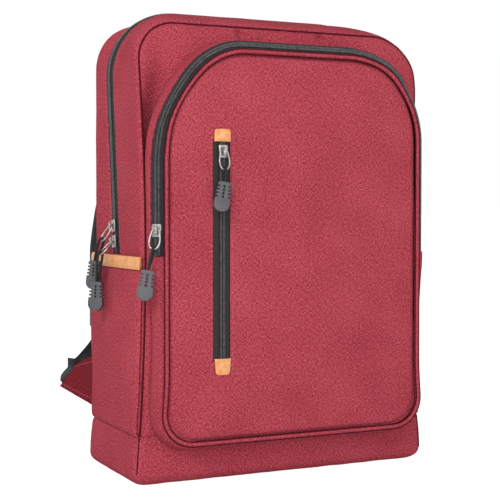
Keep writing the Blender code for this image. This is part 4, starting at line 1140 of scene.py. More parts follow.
for name, parts, body, node in (
    ("piping_pocket", ("right", "below", "left"), BAG_TO_LID, "pocket_piping"),
    ("piping_flap", ("top",), LID_TO_FLAP, "flap_piping"),
):
    mesh = solid_mesh(name, along_pocket(piping_profile, *parts))
    for v in mesh.vertices:
        v.co += v.normal * 0.0002 * noise.noise(v.co * 160.0)
    place(askew(new_piece(name, mesh, melange)), body, "red_melange_cloth", node)
outer_seam = PIPING_INSET + PIPING_RADIUS + 0.0003
inner_seam = PIPING_INSET - PIPING_RADIUS - 0.0003
# Dark cords on both sides of the piping paint the shade in its seams.
for name, inset, parts, body in (
    ("piping_seam_shade_face", outer_seam, ("right", "below", "left"), BAG_TO_LID),
    ("piping_seam_shade_flap", outer_seam, ("top",), LID_TO_FLAP),
    ("piping_seam_shade_shoulder", inner_seam, ("right", "below", "left"), BAG_TO_LID),
    ("piping_seam_shade_tape", inner_seam, ("top",), LID_TO_FLAP),
):
    ring = [(math.cos(math.pi * i / 3), math.sin(math.pi * i / 3)) for i in range(6)]
    rows = along_pocket(
        lambda z: [(inset + SEAM_SHADE_RADIUS * a, POCKET_RIM_Y - 0.0009 + SEAM_SHADE_RADIUS * b) for a, b in ring], *parts
    )
    place(askew(seam_shade_cord(name, rows)), body, "red_melange_cloth")


# Pocket face: the large front panel, crowned like a shallow cushion, with a window for the quick zip. The
# flap above the fold is the same cloth.
FACE_CROWN = 0.007
QUICK_X = -0.080
QUICK_TOP = 0.316
QUICK_BOTTOM = 0.118
QUICK_HALF = 0.0079
TAB_TOP = 0.0115
TAB_BOTTOM = 0.0150
FACE_CLOTH = 0.003
face_low = POCKET_BOTTOM + FACE_INSET
face_high = POCKET_TOP - FACE_INSET
face_half = POCKET_HALF - FACE_INSET


def pocket_half(z, inset):
    """Half the width of the pocket at a height, drawn in from its outline."""
    for past, radius in ((z - arc_middle, POCKET_TOP_RADIUS), (base_middle - z, POCKET_BASE_RADIUS)):
        if past > 0:
            return POCKET_HALF - radius + math.sqrt(max((radius - inset) ** 2 - past**2, 0.0))
    return POCKET_HALF - inset


def ease(height, full):
    """Quarter wave from none at no height to one at the full height."""
    return math.sin(math.pi / 2 * min(1.0, max(0.0, height / full)))


def face_y(x, z):
    """Front of the crowned pocket face."""
    across = 1.0 - min(1.0, abs(x) / face_half) ** 2
    swell = ease(z - face_low, QUICK_BOTTOM - TAB_BOTTOM - face_low)
    swell *= ease(face_high - z, face_high - FOLD_HEIGHT)
    return POCKET_RIM_Y - FACE_CROWN * across * swell


def face_gap(p):
    """Distance in from the edge of the pocket face."""
    radii = (POCKET_BASE_RADIUS - FACE_INSET, POCKET_TOP_RADIUS - FACE_INSET)
    return outline_gap(p.x, p.z, face_half, face_low, face_high, *radii)


def window_gap(p):
    """Distance out from the edge of the quick zip's window."""
    over = abs(p.x - QUICK_X) - QUICK_HALF
    past = max(QUICK_BOTTOM - p.z, p.z - QUICK_TOP)
    return math.hypot(max(over, 0.0), max(past, 0.0)) if max(over, past) > 0 else 0.0


def in_window(p):
    """Whether a place lies in the quick zip's window."""
    return abs(p.x - QUICK_X) < QUICK_HALF and QUICK_BOTTOM < p.z < QUICK_TOP


window_left = (QUICK_X - QUICK_HALF) / face_half
window_right = (QUICK_X + QUICK_HALF) / face_half
shares = levels(-1.0, window_left, 0.018) + levels(window_left, window_right, 0.018)[1:]
shares += levels(window_right, 1.0, 0.018)[1:]


def face_rows(heights):
    """Rows of points across the pocket face."""
    rows = []
    for z in heights:
        half = pocket_half(z, FACE_INSET)
        rows.append([Vector((s * half, face_y(s * half, z), z)) for s in shares])
    return rows


face_radius = POCKET_BASE_RADIUS - FACE_INSET
heights = [base_middle - face_radius * math.cos(math.pi / 2 * i / 16) for i in range(17)]
for low, high, step in (
    (base_middle, QUICK_BOTTOM, 0.0026),
    (QUICK_BOTTOM, QUICK_TOP, 0.0026),
    (QUICK_TOP, FOLD_HEIGHT - FOLD_SPAN, 0.0024),
    (FOLD_HEIGHT - FOLD_SPAN, FOLD_HEIGHT, 0.0014),
):
    heights += levels(low, high, step)[1:]
face_edges = [(face_gap, 0.0024, 0.0042)]
pocket_face = cloth_panel(
    "pocket_face",
    face_rows(heights),
    face_edges + [(window_gap, HEM_DIP, HEM_ROLL)],
    crumple=0.0006,
    thick=FACE_CLOTH,
    hole=in_window,
)
place(askew(pocket_face), BAG_TO_LID, "red_melange_cloth", "pocket_panel")

flap_radius = POCKET_TOP_RADIUS - FACE_INSET
fold_angle = math.asin((FOLD_HEIGHT - arc_middle) / flap_radius)
heights = []
for i in range(33):
    heights.append(arc_middle + flap_radius * math.sin(fold_angle + (math.pi / 2 - fold_angle) * i / 32))
heights[1:1] = levels(heights[0], heights[1], 0.0012)[1:-1]
flap_face = cloth_panel("flap_face", face_rows(heights), face_edges, crumple=0.0006, thick=FACE_CLOTH)
place(askew(flap_face), LID_TO_FLAP, "red_melange_cloth", "flap_panel")


# Quick zip: a straight black zip set upright in the pocket face, with a leather tab over each end and a
# lining pouch behind it. The cloth is turned in and topstitched along both sides.
quick_y = face_y(QUICK_X, (QUICK_TOP + QUICK_BOTTOM) / 2)
quick_line = [Vector((QUICK_X, quick_y, z)) for z in levels(QUICK_BOTTOM - 0.003, QUICK_TOP + 0.003, 0.004)]
for sign, half_name in ((-1, "left"), (1, "right")):
    rings = []
    for p in quick_line:
        corners = tape_corners(QUICK_HALF + 0.001)
        rings.append(tape_ring([p + Vector((sign * reach, -out, 0)) for reach, out in corners]))
    replaced = ("quick_zip",) if sign < 0 else ()
    place(tape_piece("quick_tape_" + half_name, rings), "bag", "black_zip_tape", *replaced)
    line = [p + Vector((sign * COIL_REACH / 2, -0.0001, 0)) for p in quick_line]
    teeth = coil_teeth(line, [Vector((0, -1, 0))] * len(line), sign)
    place(dashes("quick_coil_" + half_name, teeth, COIL_SIZE, coil_nylon_and_highlight), "bag", "black_zip_tape")
    edge_x = QUICK_X + sign * (QUICK_HALF + 0.0024)
    heights = levels(QUICK_BOTTOM - 0.012, QUICK_TOP + 0.01, 0.01)
    line = [Vector((edge_x, face_y(edge_x, z) - 0.001, z)) for z in heights]
    stitch_row("quick_stitches_" + half_name, pocket_face, line, "bag")

# Tan leather: smooth vegetable-tanned strip, clouded in colour, with a fine pebble.
leather = patterned(
    "tan_leather",
    ("Noise", {"Scale": 160.0, "Detail": 4.0}),
    ((0.3, "#DB8F52"), (0.55, "#E9A56C"), (0.75, "#F2B987")),
    {"Roughness": 0.48, "Specular IOR Level": 0.45},
    (0.25, 0.0003),
    ("Voronoi", {"Scale": 900.0}),
)

# Tan thread: waxed polyester in the leather's colour, a shade deeper so that the stitches show.
tan_thread = patterned(
    "tan_thread", ("Noise", {"Scale": 900.0}), ((0.3, "#CB8347"), (0.7, "#DE9A60")), {"Roughness": 0.65}
)

LEATHER = 0.0015
LEATHER_ROUND = 0.0005
TAB_SECTION = (
    (-0.0004, 0.0),
    (LEATHER - LEATHER_ROUND, 0.0),
    (LEATHER - 0.00015, 0.0002),
    (LEATHER, 0.0008),
    (LEATHER + 0.0002, 0.0030),
)


def leather_tab(name, z_zip, z_far, taper):
    """Leather end of the quick zip: square at the zip, rounded at its far end."""
    outline = [(x, z_zip) for x in levels(-QUICK_HALF, QUICK_HALF, 0.002)]
    round_z = (z_far - z_zip) * 0.45
    outline += [(QUICK_HALF, z) for z in levels(z_zip, z_far - round_z, 0.002)[1:-1]]
    for i in range(25):
        angle = math.pi * i / 24
        z = z_far - round_z + round_z * math.sin(angle) ** 0.4
        outline.append((QUICK_HALF * signed_power(math.cos(angle), 0.4), z))
    outline += [(-QUICK_HALF, z) for z in levels(z_far - round_z, z_zip, 0.002)[1:-1]]
    outline = [(x * (1 - taper * (z - z_zip) / (z_far - z_zip)), z) for x, z in outline]
    middle_z = (z_zip + z_far) / 2
    rings = []
    for lift, inset in TAB_SECTION:
        ring = []
        for x, z in outline:
            shrink_x = 1 - inset / QUICK_HALF
            shrink_z = 1 - inset / abs(z_far - z_zip) * 2
            spot_z = middle_z + (z - middle_z) * shrink_z
            spot_x = QUICK_X + x * shrink_x
            ring.append(Vector((spot_x, face_y(spot_x, spot_z) - lift, spot_z)))
        rings.append(ring)
    mesh = solid_mesh(name, rings)
    thing = new_piece(name, mesh, leather)
    seam = []
    for x, z in outline:
        seam.append(Vector((QUICK_X + x * 0.78, quick_y - 0.004, middle_z + (z - middle_z) * 0.72)))
    stitch_row(name + "_stitches", thing, seam + seam[:1], "bag", "tan_leather", tan_thread)
    return thing


for end, z_zip, z_far, taper in (
    ("top", QUICK_TOP, QUICK_TOP + TAB_TOP, 0.04),
    ("bottom", QUICK_BOTTOM, QUICK_BOTTOM - TAB_BOTTOM, 0.16),
):
    tab = leather_tab("leather_tab_" + end, z_zip, z_far, taper)
    place(tab, "bag", "tan_leather", "quick_tab_" + end)

pouch_low, pouch_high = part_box("quick_pouch")
rows = []
for z in levels(pouch_low.z, pouch_high.z, 0.006):
    row = []
    for x in levels(pouch_low.x, pouch_high.x, 0.006):
        row.append(Vector((x, face_y(x, min(z, FOLD_HEIGHT)) + FACE_CLOTH + 0.0007, z)))
    rows.append(row)
mesh = grid_mesh("quick_pouch_cloth", rows)
face_outward(mesh)
pouch = new_piece("quick_pouch_cloth", mesh, lining)
wall = pouch.modifiers.new("wall", "SOLIDIFY")
wall.thickness = 0.0014
wall.offset = -1.0
place(settle(pouch), "bag", "black_lining", "quick_pouch")


# Side pockets: a slack pocket of the red cloth on each side, sewn in at the base, the front seam and the
# rear corner, with its mouth bound in a folded strip of stitched tan leather.
MOUTH_HEIGHT = 0.2095
MOUTH_GAP = 0.0075
MOUTH_DRAW = 0.050
MOUTH_TAKE = 0.6
BINDING = 0.010

# Section of the folded binding: places out from the cloth and up from the mouth.
BINDING_SECTION = (
    (0.0002, -BINDING),
    (0.0011, -BINDING - 0.0001),
    (0.0017, -BINDING + 0.0006),
    (0.0019, -BINDING * 0.5),
    (0.0018, -0.0004),
    (0.0013, 0.0010),
    (0.0003, 0.0017),
    (-0.0007, 0.0014),
    (-0.0012, 0.0006),
    (-0.0012, -BINDING * 0.8),
    (-0.0004, -BINDING * 0.8),
    (-0.0002, 0.0002),
)


def side_pocket_place(sign, share, z, lift):
    """A place on the outside of a side pocket, from the front seam round the rear edge."""
    front = front_y(z) + CLOTH + 0.0003
    flat = REAR_Y - REAR_ROUND - front
    total = flat + math.radians(60) * REAR_ROUND
    run = total * share
    full = (MOUTH_HEIGHT - WALL_LOW) / 1.6
    swell = math.sqrt(max(math.sin(math.pi * share), 0.0)) * ease(z - WALL_LOW, full)
    swell *= 1.0 - MOUTH_TAKE * smooth((z - MOUTH_HEIGHT + MOUTH_DRAW) / MOUTH_DRAW)
    out = 0.0003 + CLOTH / 2 + MOUTH_GAP * swell + lift
    if run <= flat:
        return Vector((sign * (SIDE_X + out), front + run, z))
    return Vector((*rear_turn(sign, (run - flat) / REAR_ROUND, REAR_ROUND + out), z))


for side, sign in (("left", -1), ("right", 1)):
    rows = []
    for z in levels(WALL_LOW, MOUTH_HEIGHT, 0.0032):
        rows.append([side_pocket_place(sign, i / 44, z, 0.0) for i in range(45)])
    bag_pocket = cloth_panel(
        "side_pocket_cloth_" + side,
        rows,
        [
            (lambda p: p.z - WALL_LOW, 0.0012, SEAM_ROLL),
            (lambda p: p.y - front_y(p.z) - CLOTH, 0.0010, 0.003),
        ],
        crumple=0.0016,
        thick=CLOTH / 2,
    )
    place(bag_pocket, "bag", "red_melange_cloth", "side_pocket_" + side)
    rings = []
    for i in range(45):
        ring = []
        for lift, rise in BINDING_SECTION:
            spot = side_pocket_place(sign, i / 44, MOUTH_HEIGHT + min(rise, 0.0), lift)
            ring.append(Vector((spot.x, spot.y, MOUTH_HEIGHT + rise)))
        rings.append(ring)
    name = "binding_" + side
    mesh = solid_mesh(name, rings)
    binding = new_piece(name, mesh, leather)
    place(binding, "bag", "tan_leather", "side_binding_" + side)
    seam_z = MOUTH_HEIGHT - BINDING * 0.78
    line = [side_pocket_place(sign, 0.02 + 0.96 * i / 44, seam_z, 0.003) for i in range(45)]
    stitch_row(name + "_stitches", binding, line, "bag", "tan_leather", tan_thread)


# Zip pulls: a nickel-plated slider on each zip, a teardrop ring of wire through its bridge, a doubled black
# cord through the ring, and a moulded grey rubber grip on the cord, notched on both edges and drilled.
COIL_PROUD = 0.0010
SLIDER_CLEARANCE = 0.0005
SLIDER_PLATE = 0.0014
SLIDER_LENGTH = 0.0115
SLIDER_SPACING = 0.0150
PARKING = 0.0115
QUICK_PARKING = 0.0032
WIRE = 0.0016
RING_LENGTH = 0.0185
RING_WIDTH = 0.0115
CORD = 0.0024
GAP = 0.0003
GRIP_LENGTH = 0.028
BULB_WIDTH = 0.0148
GRIP_THICK = 0.0058
NOTCH = 0.0021
GRIP_EDGE = 0.0009
HOLE = 0.00085
PULL_AXIS = COIL_PROUD + SLIDER_CLEARANCE + SLIDER_PLATE + WIRE / 2 + GAP

# Nickel plate: bright, slightly yellow-grey metal with tumbled, softly scratched faces.
nickel = bpy.data.materials.new("nickel_plate")
tree = new_tree(nickel)
spot = add_node(tree, "ShaderNodeTexCoord")
settings = {"Scale": 500.0, "Detail": 4.0}
scuff = add_node(tree, "ShaderNodeTexNoise", settings, {"Vector": spot.outputs["Object"]})
dye = add_node(tree, "ShaderNodeValToRGB", links={"Fac": scuff.outputs[0]})
set_ramp(dye, ((0.3, "#7C7976"), (0.7, "#A9A6A1")))
rough = add_node(tree, "ShaderNodeMapRange", {"To Min": 0.22, "To Max": 0.42}, {"Value": scuff.outputs[0]})
surface(tree, {"Metallic": 1.0}, {"Base Color": dye.outputs[0], "Roughness": rough.outputs[0]})

# Grip rubber: soft moulded elastomer in charcoal, with a satin skin.
rubber = patterned(
    "moulded_rubber",
    ("Noise", {"Scale": 1400.0, "Detail": 2.0}),
    ((0.3, "#3B3A3E"), (0.7, "#525156")),
    {"Roughness": 0.45, "Specular IOR Level": 0.5},
    (0.12, 0.0002),
)

# Pull cord: braided black polyester, with the braid's slanted strands along it.
braid = bpy.data.materials.new("braided_cord")
tree = new_tree(braid)
spot = add_node(tree, "ShaderNodeUVMap", {"uv_map": "cloth"})
turn = {"Rotation": (0, 0, math.radians(35))}
turned = add_node(tree, "ShaderNodeMapping", turn, {"Vector": spot.outputs[0]})
settings = {"Scale": math.pi / 10 / 0.0009}
strands = add_node(tree, "ShaderNodeTexWave", settings, {"Vector": turned.outputs[0]})
dye = add_node(tree, "ShaderNodeValToRGB", links={"Fac": strands.outputs[1]})
set_ramp(dye, ((0.2, "#161516"), (0.8, "#2E2D2E")))
bump = add_node(tree, "ShaderNodeBump", {"Strength": 0.5, "Distance": 0.0003}, {"Height": strands.outputs[1]})
settings = {"Roughness": 0.75, "Specular IOR Level": 0.25}
surface(tree, settings, {"Base Color": dye.outputs[0], "Normal": bump.outputs[0]})


def eased_line(points, steps, closed=False):
    """Smooth line through points, some steps between each pair."""
    count = len(points)
    line = []
    for i in range(count if closed else count - 1):
        if closed:
            a, b, c, d = (points[(i + k) % count] for k in (-1, 0, 1, 2))
        else:
            a, b, c, d = (points[min(max(i + k, 0), count - 1)] for k in (-1, 0, 1, 2))
        for k in range(steps):
            t = k / steps
            bend = (a * 2 - b * 5 + c * 4 - d) * 0.5 * t * t
            line.append(b + (c - a) * 0.5 * t + bend + (b * 3 - a - c * 3 + d) * 0.5 * t**3)
    if not closed:
        line.append(points[-1])
    return line


def tube_mesh(name, points, radius, sides, closed=False):
    """Round tube along a line, its sections turned as little as they can be."""
    count = len(points)
    rings = []
    side = None
    for i, p in enumerate(points):
        after = points[(i + 1) % count] if closed else points[min(i + 1, count - 1)]
        before = points[i - 1] if closed else points[max(i - 1, 0)]
        ahead = (after - before).normalized()
        if side is None:
            side = ahead.orthogonal()
        side = (side - ahead * side.dot(ahead)).normalized()
        other = ahead.cross(side)
        turns = [2 * math.pi * k / sides for k in range(sides)]
        rings.append([p + side * radius * math.cos(a) + other * radius * math.sin(a) for a in turns])
    if closed:
        last, first = rings[-1], rings[0]
        best = min(range(sides), key=lambda k: (last[k] - first[0]).length)
        rings.append([first[(j - best) % sides] for j in range(sides)])
    return mend(grid_mesh(name, rings, closed=True, caps=not closed), 0.000001)


def zip_frame(spot, outward, up):
    """Place and turn of a zip: x across it, y outward and z along it."""
    across = outward.cross(up).normalized()
    upward = across.cross(outward).normalized()
    turn = Matrix((across, outward.normalized(), upward)).transposed().to_4x4()
    return Matrix.Translation(spot) @ turn


def direction(zip_turn, sideways, outward):
    """Direction down a zip, turned sideways and outward by degrees."""
    a = math.radians(sideways)
    b = math.radians(outward)
    local = Vector((math.sin(a) * math.cos(b), math.sin(b), -math.cos(a) * math.cos(b)))
    return (zip_turn.to_3x3() @ local).normalized()


def rounded_copy(name, node, width, material):
    """A merged copy of a CAD node with its edges rounded."""
    mesh = nodes[node].data.copy()
    mesh.name = name
    work = bmesh.new()
    work.from_mesh(mesh)
    bmesh.ops.remove_doubles(work, verts=work.verts, dist=0.000002)
    bmesh.ops.dissolve_limit(work, angle_limit=math.radians(2), verts=work.verts, edges=work.edges)
    work.to_mesh(mesh)
    work.free()
    thing = new_piece(name, mesh, material)
    bevel = thing.modifiers.new("edges", "BEVEL")
    bevel.width = width
    bevel.segments = 3
    bevel.limit_method = "ANGLE"
    bevel.angle_limit = math.radians(25)
    return settle(thing)


def grip_mesh(name):
    """Moulded grip, flat on XY with its cord end at the origin and its bulb along +Y."""
    bulb = BULB_WIDTH / 2
    neck = bulb * 0.80
    edge = [(neck * 0.55, 0.0), (neck * 0.86, GRIP_LENGTH * 0.015), (neck, GRIP_LENGTH * 0.06)]
    pitch = GRIP_LENGTH * 0.115
    for i in range(4):
        low = GRIP_LENGTH * 0.10 + i * pitch
        grow = neck + (bulb - neck) * (0.10 + 0.17 * i)
        edge += [(grow, low), (grow, low + pitch * 0.30), (grow - NOTCH, low + pitch * 0.38)]
        edge += [(grow - NOTCH, low + pitch * 0.66), (grow + 0.0002, low + pitch * 0.74)]
    round_at = GRIP_LENGTH - bulb * 0.95
    for i in range(10):
        angle = math.pi / 2 * i / 10
        edge.append((bulb * math.cos(angle), round_at + bulb * 0.95 * math.sin(angle)))
    edge.append((0.0, GRIP_LENGTH))
    outline = edge + [(-a, b) for a, b in reversed(edge[:-1])]
    loops = [outline]
    for i in range(4):
        middle = GRIP_LENGTH * 0.16 + i * pitch
        turns = [k * math.pi / 6 for k in range(12)]
        loops.append([(HOLE * math.cos(a), middle + HOLE * math.sin(a)) for a in turns])
    curve = bpy.data.curves.new(name, "CURVE")
    curve.dimensions = "2D"
    curve.fill_mode = "BOTH"
    curve.bevel_depth = GRIP_EDGE
    curve.bevel_resolution = 3
    curve.extrude = GRIP_THICK / 2 - GRIP_EDGE
    curve.offset = -GRIP_EDGE
    for loop in loops:
        spline = curve.splines.new("POLY")
        spline.points.add(len(loop) - 1)
        for point, (a, b) in zip(spline.points, loop):
            point.co = (a, b, 0.0, 1.0)
        spline.use_cyclic_u = True
    source = bpy.data.objects.new(name, curve)
    mesh = bpy.data.meshes.new_from_object(source)
    bpy.data.objects.remove(source)
    return mend(mesh, 0.000004)


def zip_pull(name, zip_turn, ring_angles, cord_angles, grip_angles, leg_length, twist):
    """Slider, ring, cord and grip of one zip, each on its own body."""
    slider = rounded_copy("zip_slider_" + name, "slider_" + name, 0.00028, nickel)
    place(slider, name + "_slider", "nickel_metal", "slider_" + name)

    hook = zip_turn @ Vector((0, PULL_AXIS, 0))
    downs = [direction(zip_turn, *angles) for angles in (ring_angles, cord_angles, grip_angles)]
    ring_down, cord_down, grip_down = downs
    across = direction(zip_turn, ring_angles[0] + 90, 0)
    ring_axis = (across - ring_down * across.dot(ring_down)).normalized()
    top = RING_WIDTH * 0.27
    wide = RING_WIDTH / 2 - WIRE / 2
    long = RING_LENGTH - WIRE
    half_shape = [(top, 0.0), (wide * 0.82, long * 0.20), (wide, long * 0.50), (wide * 0.94, long * 0.74)]
    half_shape += [(wide * 0.66, long * 0.92), (wide * 0.25, long)]
    shape = half_shape + [(-a, b) for a, b in reversed(half_shape)] + [(-top * 0.4, 0.0), (top * 0.4, 0.0)]
    line = eased_line([hook + ring_axis * a + ring_down * b for a, b in shape], 5, closed=True)
    mesh = tube_mesh("pull_ring_" + name, line, WIRE / 2, 12, closed=True)
    ring = new_piece("pull_ring_" + name, mesh, nickel)
    place(ring, name + "_ring", "nickel_metal", "ring_" + name)

    hang = hook + ring_down * long
    held = hang + cord_down * leg_length
    bow = (ring_down + cord_down).normalized()
    loop = ring_axis.cross(bow).normalized()
    grip_axis = (across - grip_down * across.dot(grip_down)).normalized()
    grip_axis.rotate(Matrix.Rotation(math.radians(twist), 3, grip_down))
    thick = grip_axis.cross(grip_down).normalized()
    bend = WIRE / 2 + CORD / 2 + GAP
    leg = CORD / 2 + GAP / 2
    half_way = hang + cord_down * leg_length * 0.5
    start = held + grip_down * CORD * 0.5
    route = [start + thick * leg, held - grip_down * CORD / 2 + thick * leg, half_way + loop * bend * 0.9]
    for i in range(7):
        angle = math.radians(30 * i)
        route.append(hang + loop * bend * math.cos(angle) - bow * bend * math.sin(angle))
    route += [half_way - loop * bend * 0.9, held - grip_down * CORD / 2 - thick * leg, start - thick * leg]
    line = eased_line(route, 4)
    cord = new_piece("pull_cord_" + name, tube_mesh("pull_cord_" + name, line, CORD / 2, 12), braid)
    place(cord, name + "_pull", "black_cord", "cord_" + name)

    mesh = grip_mesh("pull_grip_" + name)
    turn = Matrix((grip_axis, grip_down, -thick)).transposed().to_4x4()
    mesh.transform(Matrix.Translation(held + grip_down * GAP) @ turn)
    grip = new_piece("pull_grip_" + name, mesh, rubber)
    place(grip, name + "_pull", "grey_rubber", "grip_" + name)


main_up = Vector((0, zip_y(FOLD_HEIGHT) - zip_y(ZIP_END), FOLD_HEIGHT - ZIP_END)).normalized()
parked = ZIP_END + PARKING
for name, z, angles in (
    ("main_lower", parked, ((6, 44), (6, 8), (4, 4), 0.026, -50)),
    ("main_upper", parked + SLIDER_SPACING, ((22, 30), (34, 8), (10, 4), 0.022, -44)),
):
    zip_pull(name, zip_frame(Vector((-SIDE_X, zip_y(z), z)), Vector((-1, 0, 0)), main_up), *angles)
shoulder_inset, shoulder_y = shoulder_place(0.0, 0.0)
spot = Vector((-POCKET_HALF + shoulder_inset, shoulder_y, parked + SLIDER_SPACING * 0.8))
shoulder_out = Vector((-slant.y, -slant.x, 0))
zip_pull("pocket", zip_frame(spot, shoulder_out, Vector((0, 0, 1))), (3, 16), (12, 8), (8, 5), 0.0190, -20)
spot = Vector((QUICK_X, quick_y, QUICK_TOP - QUICK_PARKING - SLIDER_LENGTH / 2))
quick_frame = zip_frame(spot, Vector((0, -1, 0)), Vector((0, 0, 1)))
zip_pull("quick", quick_frame, (3, 12), (4, 8), (12, 6), 0.0112, 14)


# Back panel and pads: a foam back covered in black spacer mesh, with two stuffed pads of the same mesh sewn
# on it, channelled across so that air can pass.
BACK_THICK = 0.006
MESH_PITCH = 0.0026
CHANNEL_DEPTH = 0.0042
CHANNEL_WIDTH = 0.0045

# Spacer mesh: knitted black polyester with a honeycomb of small open cells.
air_mesh = patterned(
    "spacer_mesh",
    ("Voronoi", {"Scale": 1 / MESH_PITCH, "Randomness": 0.35}),
    ((0.15, "#111112"), (0.45, "#2A2A2C"), (0.8, "#39393C")),
    {"Roughness": 0.85, "Specular IOR Level": 0.2, "Sheen Weight": 0.1},
    (0.7, 0.0008),
)

back_low, back_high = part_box("back_panel")
back_round = TOP_RADIUS - REAR_ROUND
rows = []
heights = levels(back_low.z, back_high.z - back_round, 0.006) + corner_levels(back_high.z, back_round, 10)
for z in heights:
    half = rounded_half(z, back_high.x, back_high.z, back_round)
    rows.append([Vector((-half + 2 * half * i / 60, REAR_Y, z)) for i in range(61)])


def back_gap(p):
    """Distance in from the edge of the back panel."""
    return outline_gap(p.x, p.z, back_high.x, back_low.z, back_high.z, 0.004, back_round)


back = cloth_panel(
    "back_mesh",
    rows,
    [(back_gap, 0.0010, 0.004)],
    crumple=0.0004,
    thick=BACK_THICK,
)
back.data.materials[0] = air_mesh
place(back, "bag", "black_air_mesh", "back_panel")


def stuffed(name, node, voxel, cap, pinned, material):
    """Padded piece: a copy of its solid, remeshed, then swollen by pressure as stuffing swells its cover."""
    mesh = nodes[node].data.copy()
    mesh.name = name
    work = bmesh.new()
    work.from_mesh(mesh)
    bmesh.ops.remove_doubles(work, verts=work.verts, dist=0.000002)
    work.to_mesh(mesh)
    work.free()
    thing = new_piece(name, mesh, material)
    remesh = thing.modifiers.new("remesh", "REMESH")
    remesh.mode = "VOXEL"
    remesh.voxel_size = voxel
    settle(thing)
    rest = [v.co.copy() for v in thing.data.vertices]
    sewn = thing.vertex_groups.new(name="sewn")
    sewn.add([i for i, p in enumerate(rest) if pinned(p)], 1.0, "REPLACE")
    cover = thing.modifiers.new("cover", "CLOTH")
    cover.settings.quality = 5
    cover.settings.mass = 0.3
    cover.settings.use_pressure = True
    cover.settings.uniform_pressure_force = 4.0
    cover.settings.effector_weights.gravity = 0.0
    cover.settings.vertex_group_mass = "sewn"
    for step in range(1, 21):
        scene.frame_set(step)
    graph = bpy.context.evaluated_depsgraph_get()
    swollen = [v.co.copy() for v in thing.evaluated_get(graph).data.vertices]
    thing.modifiers.clear()
    scene.frame_set(1)
    for v, start, end in zip(thing.data.vertices, rest, swollen):
        move = end - start
        v.co = start + move * min(1.0, cap / max(move.length, 1e-9))
    for face in thing.data.polygons:
        face.use_smooth = True
    return thing


def refine(thing):
    """Rounds a piece by one level of subdivision."""
    finer = thing.modifiers.new("finer", "SUBSURF")
    finer.levels = 1
    finer.render_levels = 1
    return settle(thing)


def mirrored_copy(thing, name):
    """The same piece for the other side of the bag."""
    mesh = thing.data.copy()
    mesh.name = name
    for v in mesh.vertices:
        v.co.x = -v.co.x
    mesh.flip_normals()
    return new_piece(name, mesh, *thing.data.materials)


pad_low, pad_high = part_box("back_pad_left")
pad = stuffed("pad_left", "back_pad_left", 0.005, 0.005, lambda p: p.y < REAR_Y + 0.0016, air_mesh)
channels = [pad_low.z + (pad_high.z - pad_low.z) * share for share in (0.25, 0.5, 0.75)]
refine(pad)
for v in pad.data.vertices:
    lift = smooth((v.co.y - REAR_Y - 0.001) / 0.006)
    for z in channels:
        v.co.y -= CHANNEL_DEPTH * lift * math.exp(-(((v.co.z - z) / CHANNEL_WIDTH) ** 2))
other_pad = mirrored_copy(pad, "pad_right")
for thing, side in ((pad, "left"), (other_pad, "right")):
    place(thing, "bag", "black_air_mesh", "back_pad_" + side)


# Shoulder straps: padded straps in black cloth, sewn into the back below the handle, which narrow to a
# plastic ladder lock. The webbing comes from a cloth wing in the rear seam and hangs on as a loose tail.

# Webbing: black polyester woven in cross ribs, dull with a slight sheen on the ribs.
webbing_cloth = patterned(
    "polyester_webbing",
    ("Noise", {"Scale": 900.0}),
    ((0.3, "#1A1A1B"), (0.7, "#2F2F31")),
    {"Roughness": 0.7, "Specular IOR Level": 0.3},
    (0.5, 0.0005),
    ("Wave", {"bands_direction": "Y", "Scale": math.pi / 10 / 0.0016}),
    on_cloth=True,
)

# Acetal: black moulded plastic of the ladder locks, satin with a fine mould grain.
acetal = patterned(
    "moulded_acetal",
    ("Noise", {"Scale": 1200.0}),
    ((0.3, "#18181A"), (0.7, "#232325")),
    {"Roughness": 0.38},
    (0.1, 0.0002),
)

# Wing cloth: the same weave in darker reds, which are painted shade: the wing lies in the shade behind the
# bag.
WING_SHADED_COLOURS = ((0.33, "#4A1219"), (0.50, "#76222B"), (0.67, "#8F353E"))
STRAP_SPREAD = 0.0185
STRAP_SPREAD_TOP = 0.370
STRAP_SPREAD_RUN = 0.200
wing_shaded_cloth = woven("wing_polyester_painted_shade", WING_SHADED_COLOURS)
strap_low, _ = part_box("shoulder_strap_left")
strap = stuffed(
    "strap_left",
    "shoulder_strap_left",
    0.004,
    0.004,
    lambda p: p.z < strap_low.z + 0.012 or p.y < REAR_Y + 0.010,
    air_mesh,
)
refine(strap)
for v in strap.data.vertices:
    v.co.x -= STRAP_SPREAD * smooth((STRAP_SPREAD_TOP - v.co.z) / STRAP_SPREAD_RUN)
other_strap = mirrored_copy(strap, "strap_right")
for thing, side in ((strap, "left"), (other_strap, "right")):
    place(thing, "bag", "black_air_mesh", "shoulder_strap_" + side)

STRAP_BOW = 0.049
STRAP_END_X = 0.098
WEBBING_WIDTH = 0.022
WEBBING = 0.0016
WEBBING_TAIL = 0.052
LOCK_THICK = 0.005
LOCK_BAR = 0.0042
LOCK_SLOT = 0.0062
WING = 0.004
WING_REACH = 0.049
WING_TIP_RISE = 0.034
WING_TIP_OUT = 0.007
WING_TIP_HALF = 0.0147
WING_ROOT_LOW = 0.007
WING_ROOT_HIGH = 0.061
WING_SEAM_TURN = 56
WING_TIP_EDGE = Vector((0.576, 0.068, -0.814)).normalized()
UP = Vector((0, 0, 1))
OUT = Vector((0, 1, 0))
RIGHT = Vector((1, 0, 0))


def bezier(start, leave, arrive, end, count):
    """Points along a curve from its ends and their handles."""
    points = []
    for i in range(count + 1):
        t = i / count
        s = 1 - t
        points.append(start * s**3 + leave * 3 * s * s * t + arrive * 3 * s * t * t + end * t**3)
    return points


